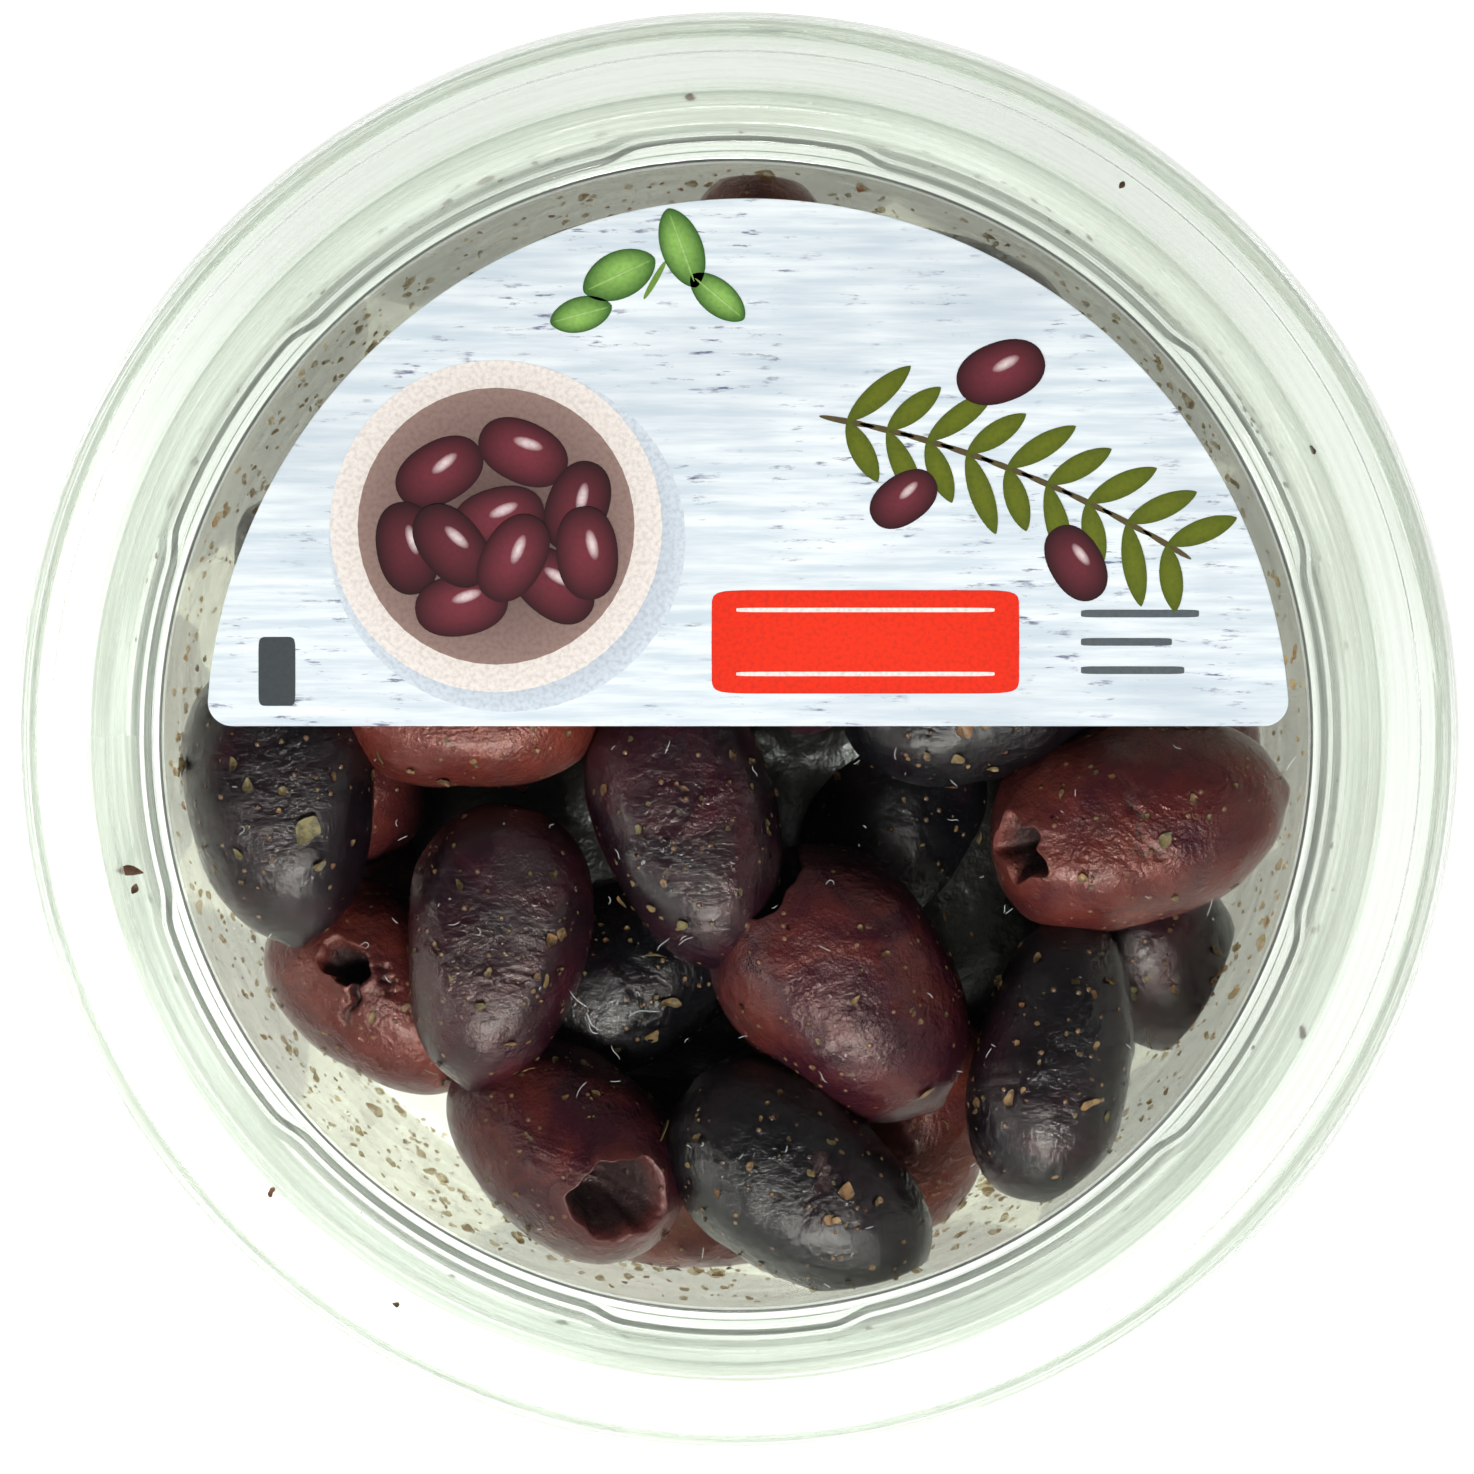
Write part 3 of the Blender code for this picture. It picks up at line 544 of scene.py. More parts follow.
def scatter_olives():
    """Middles, long axes, half sizes and held flags of every olive before they settle."""
    draw = np.random.default_rng(SEED)
    turn, rise = np.radians(seen_olives[:, 5]), np.radians(seen_olives[:, 6])
    heights = ROOM_TOP - (seen_olives[:, 2] + 0.5 * seen_olives[:, 4]) * MM
    middles = [(x * MM, y * MM, z) for x, y, z in zip(seen_olives[:, 0], seen_olives[:, 1], heights)]
    axes = list(np.stack((np.cos(turn) * np.cos(rise), np.sin(turn) * np.cos(rise), np.sin(rise)), axis=1))
    sizes = list(0.5 * MM * seen_olives[:, 3:5])
    for count, radius, height_here, first in lower_rows:
        for k in range(count):
            angle = math.radians(first + 360.0 * k / count + draw.uniform(-ROW_JITTER, ROW_JITTER))
            lean = draw.uniform(0.0, math.pi)
            steep = draw.uniform(-LOWER_RISE, LOWER_RISE)
            out = radius * MM
            middles.append((out * math.cos(angle), out * math.sin(angle), height_here * MM))
            axes.append((math.cos(lean) * math.cos(steep), math.sin(lean) * math.cos(steep), math.sin(steep)))
            sizes.append((0.5 * draw.uniform(*LOWER_LENGTH) * MM, 0.5 * draw.uniform(*LOWER_WIDTH) * MM))
    held = np.arange(len(middles)) < len(seen_olives)
    return np.array(middles), np.array(axes), np.array(sizes), held


def settle(middles, axes, sizes, held):
    """Presses the olives apart and back into the tub, each taken as three balls in a row.

    Balls that overlap, or cross the wall, floor or panel, push their olive off and turn it. The olives that
    show only rise or sink, and the others also shift and turn.
    """
    half_length, half_width = sizes[:, 0], sizes[:, 1]
    end_radius = END_BALL * half_width
    radii = np.stack((end_radius, half_width, end_radius), axis=1)
    offsets = np.stack((end_radius - half_length, 0.0 * half_length, half_length - end_radius), axis=1)
    owner = np.repeat(np.arange(len(middles)), 3)
    rates = np.where(held[:, None], (0.0, 0.0, SEEN_SINK_RATE), SETTLE_RATE)
    flat_radii = radii.ravel()
    for _ in range(SETTLE_ROUNDS):
        balls = (middles[:, None, :] + offsets[:, :, None] * axes[:, None, :]).reshape(-1, 3)
        apart = balls[:, None, :] - balls[None, :, :]
        distance = np.linalg.norm(apart, axis=2) + 1e-9
        overlap = np.maximum(flat_radii[:, None] + flat_radii[None, :] - distance, 0.0)
        overlap[owner[:, None] == owner[None, :]] = 0.0
        push = (apart / distance[:, :, None] * overlap[:, :, None]).sum(axis=1)
        reach = np.linalg.norm(balls[:, :2], axis=1) + 1e-9
        outside = np.maximum(reach + flat_radii + GAP - wall_radius(balls[:, 2]), 0.0)
        push[:, :2] -= 2.0 * outside[:, None] * balls[:, :2] / reach[:, None]
        push[:, 2] += 2.0 * np.maximum(HEAP_BOTTOM + flat_radii - balls[:, 2], 0.0)
        push[:, 2] -= 2.0 * np.maximum(balls[:, 2] + flat_radii - ROOM_TOP, 0.0)
        push = push.reshape(-1, 3, 3)
        arms = offsets[:, :, None] * axes[:, None, :]
        spin = np.cross(arms, push).sum(axis=1) / (2.0 * np.maximum(offsets[:, 2:], MM) ** 2)
        middles = middles + rates * push.sum(axis=1) / 2.0
        axes = axes + rates[:, :1] * np.cross(spin, axes)
        axes /= np.linalg.norm(axes, axis=1)[:, None]
    return middles, axes


def lumps(points, size, seed):
    """Smooth noise from -1 to 1: random values at the corners of a cubic grid, blended by smoothstep."""
    place = points / size + 1000.0
    cell = np.floor(place).astype(np.int64)
    part = place - cell
    part = part * part * (3.0 - 2.0 * part)
    total = np.zeros(len(points))
    for corner in np.ndindex(2, 2, 2):
        at = cell + np.array(corner)
        mixed = at[:, 0] * 73856093 ^ at[:, 1] * 19349663 ^ at[:, 2] * 83492791 ^ (seed * 2654435761)
        mixed = (mixed ^ (mixed >> 13)) * 1274126177
        value = ((mixed ^ (mixed >> 16)) & 65535) / 32767.5 - 1.0
        weight = np.prod(np.where(np.array(corner) == 1, part, 1.0 - part), axis=1)
        total += value * weight
    return total


def keep_inside(points):
    """Draws points that cross the tub's wall, the floor or the panel back inside them.

    Near the panel a height h over the last part p goes in as p * (1 - exp(-h / p)), so that the skin flattens
    without an edge.
    """
    kept = points.copy()
    over = np.maximum(kept[:, 2] - (HEAP_TOP - FLATTENED), 0.0)
    eased = HEAP_TOP - FLATTENED + FLATTENED * (1.0 - np.exp(-over / FLATTENED))
    kept[:, 2] = np.maximum(np.minimum(kept[:, 2], eased), HEAP_BOTTOM)
    reach = np.linalg.norm(kept[:, :2], axis=1) + 1e-9
    corner = FLOOR_THICKNESS + FLOOR_FILLET
    limit = wall_radius(kept[:, 2]) - GAP - np.maximum(corner + GAP - kept[:, 2], 0.0)
    kept[:, :2] *= np.minimum(1.0, limit / reach)[:, None]
    return kept


def olive_reach(directions, axis, size):
    """Distance from an olive's middle to its skin, a superellipsoid fuller to the stem.

    It is where (|along| / a) ** n + (across / b) ** n = 1, with b shrinking a little to the blossom end.
    """
    along = directions @ axis
    across = np.sqrt(np.maximum(1.0 - along ** 2, 0.0))
    half_width = size[1] * (1.0 - OLIVE_BLUNTNESS * along)
    inverse = (np.abs(along) / size[0]) ** OLIVE_FULLNESS + (across / half_width) ** OLIVE_FULLNESS
    return inverse ** (-1.0 / OLIVE_FULLNESS)


# Long cuts by olive: middle along and about it, run, lean (radians), width, in half widths, and depth (mm)
PITTING_CUTS = {
    3: [(-0.30, 0.20, 0.50, 1.1, 0.05, 1.0), (-0.05, -0.15, 0.35, 0.3, 0.04, 0.7)],
    9: [(-0.05, -0.15, 0.42, 1.45, 0.030, 1.2), (0.02, 0.27, 0.30, 0.15, 0.035, 0.9)],
    2: [(0.45, -0.35, 0.25, 0.5, 0.03, 0.6)],
    12: [(0.1, -0.3, 0.3, 0.5, 0.05, 0.6)],
}

# Warts by olive: direction, width and height (mm)
SKIN_WARTS = {6: [(-1.8, -5.0, 7.0, 0.75, 0.55)], 1: [(5.0, -9.0, -1.5, 0.8, 1.1)]}


def cut_depth(index, directions, side, up, axis, size):
    """How deep the long cuts go that the pitting left: narrow troughs along short arcs of the skin.

    The depth falls off as exp(-(distance across / width) ** 2) and towards the run's ends.
    """
    along = directions @ axis * (size[0] / size[1])
    about = directions @ side
    depth = np.zeros(len(directions))
    for middle_along, middle_about, run, lean, width, deep in PITTING_CUTS.get(index, []):
        u, v = along - middle_along, about - middle_about
        length = (u * math.cos(lean) + v * math.sin(lean)) / run
        apart = -u * math.sin(lean) + v * math.cos(lean) + 0.05 * np.sin(9.0 * length)
        trough = deep * MM * np.exp(-(apart / width) ** 2) * np.clip(1.0 - length ** 2, 0.0, 1.0)
        depth = np.maximum(depth, np.where(directions @ up > 0.0, trough, 0.0))
    return depth


def warts(index, directions, size):
    """How far small round warts stand up: height * exp(-(distance / (0.6 * width)) ** 2) about each."""
    height_of = np.zeros(len(directions))
    for x, y, z, width, tall in SKIN_WARTS.get(index, []):
        toward = np.array((x, y, z)) / math.sqrt(x * x + y * y + z * z)
        apart = np.linalg.norm(directions - toward, axis=1) * size[1]
        height_of += tall * MM * np.exp(-(apart / (0.6 * width * MM)) ** 2)
    return height_of


def olive_points(index, middle, axis, size, tip, opening, rings, sides):
    """Grid of one olive's skin with its directions, its share of bare flesh, and how deep it is sunk.

    A point lies at angle t from the pole and turn p about it, at the skin's reach plus lumps. Inside the pit
    hole, whose rim wavers with p, it sinks by depth * (1 - (t / rim) ** 6), which gives a steep wall. The
    blossom end has a small tip, and the stem end of an olive with no hole has a dimple.
    """
    side = np.cross(axis, (0.0, 0.0, 1.0))
    side /= np.linalg.norm(side)
    up = np.cross(side, axis)
    pole = math.sin(tip) * up - math.cos(tip) * axis
    across = np.cross(side, pole)
    turns = np.linspace(0.0, 2.0 * math.pi, sides, endpoint=False)[None, :]
    phase = 1.7 * index
    if opening > 0.0:
        star = TORN_STAR if index == TORN_OLIVE else HOLE_STAR
        waver = 1.0 + 0.12 * np.sin(2.0 * turns + phase) + star * np.sin(5.0 * turns + 2.0 * phase)
        rim = opening * (waver + 0.03 * np.sin(11.0 * turns + 3.0 * phase))
        hole_rings = rings // 3
        inside = np.linspace(0.0, 1.0, hole_rings + 2)[1:-1, None] ** 0.6
        outside = np.linspace(0.0, 1.0, rings - hole_rings + 1)[:-1, None] ** 1.3
        rounded = opening + (rim - opening) * inside ** 3
        angle = np.vstack((inside * rounded, rim + outside * (math.pi - rim)))
        sunk = np.vstack((1.0 - inside ** 7 + 0.0 * turns, 0.0 * outside + 0.0 * turns))
        lip = np.exp(-((angle - rim) * size[1] / LIP_WIDTH) ** 2)
    else:
        angle = np.linspace(0.0, math.pi, rings + 2)[1:-1, None] + 0.0 * turns
        sunk = 0.0 * angle
        lip = 0.0 * angle
    directions = (
        np.cos(angle)[..., None] * pole
        + np.sin(angle)[..., None] * (np.cos(turns)[..., None] * side + np.sin(turns)[..., None] * across)
    ).reshape(-1, 3)
    directions = np.vstack((directions, pole, -pole))
    sunk = np.append(sunk.ravel(), (1.0 if opening > 0.0 else 0.0, 0.0))
    lip = np.append(lip.ravel(), (0.0, 0.0))
    reach = olive_reach(directions, axis, size)
    scaled = directions * size[1]
    for height_of, size_of, seed in SKIN_LUMPS:
        reach = reach + height_of * MM * lumps(scaled, size_of * MM, seed + index)
    blossom = np.arccos(np.clip(directions @ axis, -1.0, 1.0))
    reach = reach + BLOSSOM_TIP[0] * np.exp(-(blossom / BLOSSOM_TIP[1]) ** 2)
    if opening == 0.0:
        reach = reach - STEM_DIMPLE[0] * np.exp(-((math.pi - blossom) / STEM_DIMPLE[1]) ** 2)
    skin_left = 1.0 - np.clip(4.0 * sunk, 0.0, 1.0)
    reach = reach + LIP_RISE * lip * skin_left
    reach = reach - PIT_DEPTH * sunk * (1.0 + 0.25 * lumps(scaled, PULP_LUMP, 200 + index))
    cut = cut_depth(index, directions, side, up, axis, size)
    reach = reach - cut * skin_left + warts(index, directions, size)
    flesh = 1.0 - skin_left * (1.0 - 0.5 * lip) * (1.0 - np.clip(cut / (0.5 * MM), 0.0, 0.9))
    hollow = np.clip(np.maximum(sunk * 1.1, cut / (1.2 * MM)), 0.0, 1.0)
    return keep_inside(middle + reach[:, None] * directions), directions, np.clip(flesh, 0.0, 1.0), hollow


def mixed_colour(tree, share, first, second):
    """The colour that goes from the first to the second by a share, each computed or constant."""
    mix = tree.nodes.new("ShaderNodeMix")
    mix.data_type = "RGBA"
    for place, value in ((0, share), (6, first), (7, second)):
        if isinstance(value, bpy.types.NodeSocket):
            tree.links.new(value, mix.inputs[place])
        else:
            mix.inputs[place].default_value = (*value, 1.0)
    return mix.outputs[2]


def olive_skin():
    """Cured skin: black to wine red by olive and in patches, with pale dots, grey patches and a wet gloss.

    The redness, the bare flesh and the depth in the pit hole are read from the mesh's own attributes. Wet
    patches are smoother and more wrinkled than the rest, so that they glitter. The grey patches are partly a
    real film of oil and partly painted sheen, and the pulp turns near black deeper in the pit hole and the
    cuts as painted shade.
    """
    made, tree = node_tree("cured_olive_skin")
    where = object_place(tree)
    red, flesh, hollow = (
        add_node(tree, "ShaderNodeAttribute", attribute_name=name).outputs["Fac"]
        for name in ("redness", "flesh", "hollow")
    )
    patches = noise(tree, where, 105.0, 5.0, 0.6, 0.8)
    swing = computed(tree, "ADD", computed(tree, "SUBTRACT", patches, 0.5), red)
    tone = colour_ramp(
        tree, swing, (0.0, (0.0036, 0.0032, 0.0046)), (0.28, (0.0105, 0.0036, 0.0070)),
        (0.50, (0.034, 0.0062, 0.0122)), (0.75, (0.098, 0.0180, 0.0150)), (1.0, (0.18, 0.032, 0.021)),
    )
    # Grey patches: partly a real film of oil on the skin, partly painted sheen.
    film_and_painted_sheen = spread(tree, noise(tree, where, 85.0, 5.0, 0.6), 0.54, 0.68, 0.0, 0.22)
    skin_tone = mixed_colour(tree, film_and_painted_sheen, tone, (0.062, 0.052, 0.054))
    dots = add_node(tree, "ShaderNodeTexVoronoi", {"Vector": where, "Scale": 1000.0})
    pick = add_node(tree, "ShaderNodeSeparateColor", {0: dots.outputs["Color"]}).outputs[0]
    rare = computed(tree, "GREATER_THAN", pick, 0.84)
    speck = computed(tree, "MULTIPLY", spread(tree, dots.outputs["Distance"], 0.28, 0.10), rare)
    speckled = mixed_colour(tree, speck, skin_tone, (0.19, 0.105, 0.055))
    pulp_and_pit_shade = mixed_colour(tree, noise(tree, where, 900.0), (0.020, 0.005, 0.005), (0.098, 0.018, 0.015))
    # Deeper in the pit hole and in the cuts the pulp turns near black: painted shade.
    pulp_and_pit_shade = mixed_colour(tree, spread(tree, hollow, 0.03, 0.36), pulp_and_pit_shade, (0.010, 0.0052, 0.0066))
    wet = spread(tree, noise(tree, where, 120.0, 4.0, 0.65, 0.8), 0.50, 0.68)
    relief = computed(tree, "MULTIPLY", noise(tree, where, 380.0, 4.0, 0.68), 1.7)
    rippled = computed(tree, "MULTIPLY", noise(tree, where, 1050.0, 2.0, 0.5, 1.0), wet)
    for height, share in ((rippled, 0.8), (noise(tree, where, 2300.0, 4.0, 0.7), 0.40), (speck, 0.6)):
        relief = computed(tree, "MULTIPLY_ADD", height, share, relief)
    bump = add_node(tree, "ShaderNodeBump", {"Height": relief, "Strength": 0.8, "Distance": 0.00026})
    dull = computed(tree, "MULTIPLY_ADD", flesh, 0.3, spread(tree, wet, 0.0, 1.0, 0.26, 0.13))
    warm = mixed_colour(tree, spread(tree, swing, 0.10, 0.60), (1.0, 0.93, 0.93), (1.0, 0.62, 0.56))
    return finished(made, add_node(tree, "ShaderNodeBsdfPrincipled", {
        "Base Color": mixed_colour(tree, flesh, speckled, pulp_and_pit_shade), "Roughness": dull, "IOR": 1.48,
        "Specular Tint": warm, "Coat Weight": 0.05, "Coat Roughness": 0.10, "Normal": bump.outputs["Normal"],
    }))


def add_attribute(made, name, values):
    """Stores one number for each point of the mesh under a name."""
    layer = made.data.attributes.new(name, "FLOAT", "POINT")
    layer.data.foreach_set("value", np.asarray(values, dtype=np.float32))


SEEN_RINGS, SEEN_SIDES = 96, 88
LOWER_RINGS, LOWER_SIDES = 40, 40
OLIVES_A_PIECE = 9

middles, axes, sizes, held = scatter_olives()
middles, axes = settle(middles, axes, sizes, held)
middles[DRAWN_IN] += np.array(DRAWN_IN_BY) * MM
seen_count = len(seen_olives)
lower_count = len(middles) - seen_count
lower_redness = np.random.default_rng(SEED + 2).uniform(0.0, 0.7, lower_count)
redness = np.concatenate((seen_olives[:, 9], lower_redness))
tips = np.radians(np.concatenate((seen_olives[:, 7], np.zeros(lower_count))))
openings = np.radians(np.concatenate((seen_olives[:, 8], np.zeros(lower_count))))
skin = olive_skin()
skins = {}


def olive_group(name, members, rings, sides):
    """One piece that joins several olives, with the redness and the bare flesh of each point."""
    points, faces, red, bare, hollow = [], [], [], [], []
    for index in members:
        start = sum(map(len, points))
        skins[index] = olive_points(
            index, middles[index], axes[index], sizes[index], tips[index], openings[index], rings, sides,
        )
        points.append(skins[index][0])
        faces.extend(part + start for part in ball_faces(rings, sides))
        red.append(np.full(len(points[-1]), redness[index]))
        bare.append(skins[index][2])
        hollow.append(skins[index][3])
    made = mesh_object(name, np.vstack(points), faces)
    add_attribute(made, "redness", np.concatenate(red))
    add_attribute(made, "flesh", np.concatenate(bare))
    add_attribute(made, "hollow", np.concatenate(hollow))
    made.data.materials.append(skin)
    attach(made, "root")
    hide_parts("olives")


for first in range(0, seen_count, OLIVES_A_PIECE):
    members = range(first, min(first + OLIVES_A_PIECE, seen_count))
    olive_group(f"olives_seen_{first // OLIVES_A_PIECE + 1}", members, SEEN_RINGS, SEEN_SIDES)
olive_group("olives_below", range(seen_count, len(middles)), LOWER_RINGS, LOWER_SIDES)


# Core
# The bottom of the heap, where olives, brine and crumbs lie too close to be told apart: one lumpy mass with
# the olives pressed into it, near black as painted shade in the gaps between them.

CORE_MIDDLE = np.array((0.0, 0.0, 15.0 * MM))
CORE_HALF = np.array((29.0 * MM, 29.0 * MM, 13.0 * MM))
CORE_LUMPS = 1.4 * MM
CORE_RINGS, CORE_SIDES = 60, 96


def ball_directions(rings, sides):
    """Directions (sin t cos p, sin t sin p, cos t) of a ball's grid, with its two poles at the end."""
    tilt = np.linspace(0.0, math.pi, rings + 2)[1:-1, None]
    turn = np.linspace(0.0, 2.0 * math.pi, sides, endpoint=False)[None, :]
    x, y = np.sin(tilt) * np.cos(turn), np.sin(tilt) * np.sin(turn)
    directions = np.stack((x, y, np.cos(tilt) + 0.0 * turn), axis=-1).reshape(-1, 3)
    return np.vstack((directions, (0.0, 0.0, 1.0), (0.0, 0.0, -1.0)))


def core_points(rings, sides):
    """A squat ball, |x / a| ** 3 + |y / b| ** 3 + |z / c| ** 3 = 1, with lumps of 1.4 mm."""
    directions = ball_directions(rings, sides)
    reach = (np.abs(directions / CORE_HALF) ** 3.0).sum(axis=1) ** (-1.0 / 3.0)
    reach = reach + CORE_LUMPS * lumps(directions * CORE_HALF[0], 6.0 * MM, 5)
    return CORE_MIDDLE + reach[:, None] * directions


def painted_shade_mash():
    """Wet mash of olives and herbs, near black as painted shade for the gaps between them."""
    made, tree = node_tree("painted_shade_mash")
    grain = noise(tree, object_place(tree), 240.0, 4.0, 0.6)
    bump = add_node(tree, "ShaderNodeBump", {"Height": grain, "Strength": 0.8, "Distance": 0.0008})
    # Near black throughout: painted shade for the gaps between the olives.
    return finished(made, add_node(tree, "ShaderNodeBsdfPrincipled", {
        "Base Color": mixed_colour(tree, grain, (0.002, 0.002, 0.003), (0.012, 0.010, 0.008)),
        "Roughness": 0.35, "Normal": bump.outputs["Normal"],
    }))


core = mesh_object("olive_core", core_points(CORE_RINGS, CORE_SIDES), ball_faces(CORE_RINGS, CORE_SIDES))
core.data.materials.append(painted_shade_mash())
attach(core, "root")
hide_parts("olives")


# Herbs
# Dried oregano and thyme from the marinade: flat leaf bits of all sizes that stick to the olives and to the
# inside of the wall, and that have worked into the gap between tub and lid.

FLAKE_COLUMNS, FLAKE_ROWS = 6, 4
HERBS_AN_OLIVE = 62


def leaf_bits(places, normals, lengths, widths, along, seed):
    """Points and faces of many leaf bits, each a bent sheet over u and v from -1 to 1.

    It lies length * u / 2 along and width * v / 2 * (1 - |u| ** 2.4) ** 0.5 across, with a wavering edge, and
    stands off its place by curl * u ** 2 + roll * v ** 2. along is its direction, or None for any.
    """
    draw = np.random.default_rng(seed)
    count = len(places)
    u, v = np.meshgrid(np.linspace(-1.0, 1.0, FLAKE_COLUMNS), np.linspace(-1.0, 1.0, FLAKE_ROWS))
    u, v = u.ravel()[None, :], v.ravel()[None, :]
    phase, curl, roll, skew = draw.uniform(-1.0, 1.0, (4, count, 1))
    if along is None:
        along = np.cross(normals, (0.31, 0.57, 0.76))
        turn = draw.uniform(0.0, 2.0 * math.pi, (count, 1))
    else:
        turn = draw.normal(0.0, 0.3, (count, 1))
    first = along / np.linalg.norm(along, axis=1)[:, None]
    second = np.cross(normals, first)
    lengthwise = first * np.cos(turn) + second * np.sin(turn)
    crosswise = np.cross(normals, lengthwise)
    lengths, widths = lengths[:, None], widths[:, None]
    edge = np.sqrt(np.maximum(1.0 - np.abs(u) ** 2.4, 0.04)) * (1.0 + 0.28 * np.sin(3.0 * u + 5.0 * phase))
    x = 0.5 * lengths * u
    y = 0.5 * widths * (v * edge + 0.35 * skew * u ** 2)
    z = 0.03 * MM + lengths * 0.12 * (curl + 0.6) * u ** 2 + widths * 0.16 * (roll + 0.5) * v ** 2
    points = (
        places[:, None, :] + x[..., None] * lengthwise[:, None, :] + y[..., None] * crosswise[:, None, :]
        + z[..., None] * normals[:, None, :]
    ).reshape(-1, 3)
    rows, columns = np.meshgrid(np.arange(FLAKE_ROWS - 1), np.arange(FLAKE_COLUMNS - 1), indexing="ij")
    near = (rows * FLAKE_COLUMNS + columns).ravel()
    quads = np.stack((near, near + 1, near + FLAKE_COLUMNS + 1, near + FLAKE_COLUMNS), axis=-1)
    faces = (quads[None, :, :] + FLAKE_COLUMNS * FLAKE_ROWS * np.arange(count)[:, None, None]).reshape(-1, 4)
    return points, faces


def dried_leaf():
    """Dried leaf: brown through rust and tan to grey green by bit, veined, dull."""
    made, tree = node_tree("dried_leaf")
    kind = add_node(tree, "ShaderNodeAttribute", attribute_name="leaf_kind").outputs["Fac"]
    tone = colour_ramp(
        tree, kind, (0.0, (0.045, 0.022, 0.012)), (0.25, (0.15, 0.062, 0.024)), (0.50, (0.27, 0.15, 0.070)),
        (0.75, (0.165, 0.105, 0.045)), (1.0, (0.130, 0.112, 0.042)),
    )
    veins = noise(tree, object_place(tree), 1500.0, 4.0, 0.7)
    bump = add_node(tree, "ShaderNodeBump", {"Height": veins, "Strength": 0.6, "Distance": 0.0001})
    colour = mixed_colour(tree, spread(tree, veins, 0.40, 0.62, 0.0, 0.85), tone, (0.030, 0.020, 0.010))
    return finished(made, add_node(tree, "ShaderNodeBsdfPrincipled", {
        "Base Color": colour, "Roughness": 0.55, "Specular IOR Level": 0.3, "Normal": bump.outputs["Normal"],
    }))


def soaked_leaf():
    """Leaf soaked through with oil behind the film: rust and ochre, half of it see-through."""
    made, tree = node_tree("soaked_leaf")
    kind = add_node(tree, "ShaderNodeAttribute", attribute_name="leaf_kind").outputs["Fac"]
    tone = mixed_colour(tree, spread(tree, kind, 0.0, 0.5), (0.30, 0.13, 0.05), (0.42, 0.27, 0.10))
    share = spread(tree, noise(tree, object_place(tree), 900.0), 0.35, 0.65, 0.25, 0.75)
    body = add_node(tree, "ShaderNodeBsdfPrincipled", {"Base Color": tone, "Roughness": 0.5})
    clear = add_node(tree, "ShaderNodeBsdfTransparent", {"Color": (0.92, 0.82, 0.66, 1.0)})
    return finished(made, mixed_shader(tree, share, clear, body))


leaf = dried_leaf()


def herb_piece(name, places, normals, lengths, widths, kinds, along=None, seed=1, finish=leaf):
    """One piece of leaf bits with each bit's kind stored on its points."""
    points, faces = leaf_bits(places, normals, lengths, widths, along, seed)
    made = mesh_object(name, points, faces)
    add_attribute(made, "leaf_kind", np.repeat(kinds, FLAKE_COLUMNS * FLAKE_ROWS))
    made.data.materials.append(finish)
    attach(made, "root")


def herbs_on_olives():
    """Places, normals, lengths, widths and kinds of bits thrown at the olives that show, out of the holes."""
    draw = np.random.default_rng(31)
    places, normals, lengths = [], [], []
    for index in range(seen_count):
        points, directions, flesh = skins[index][:3]
        thrown = draw.normal(size=(HERBS_AN_OLIVE * 3, 3))
        thrown[:, 2] = np.abs(thrown[:, 2])
        thrown /= np.linalg.norm(thrown, axis=1)[:, None]
        hit = np.argmax(thrown @ directions.T, axis=1)
        hit = hit[flesh[hit] < 0.2][:HERBS_AN_OLIVE + draw.integers(-25, 20)]
        outward = directions[hit]
        along = (outward @ axes[index])[:, None] * axes[index]
        outward = outward - along + along * (sizes[index][1] / sizes[index][0]) ** 2
        places.append(points[hit])
        normals.append(outward / np.linalg.norm(outward, axis=1)[:, None])
        lengths.append(np.clip(0.34 * np.exp(draw.normal(0.0, 0.6, len(hit))), 0.14, 1.6) * MM)
    return np.vstack(places), np.vstack(normals), np.concatenate(lengths)


herb_draw = np.random.default_rng(32)
places, normals, lengths = herbs_on_olives()
widths = lengths * herb_draw.uniform(0.45, 0.9, len(lengths))
kinds = herb_draw.uniform(0.15, 1.0, len(lengths))
herb_piece("herbs_on_olives", places, normals, lengths, widths, kinds, seed=33)
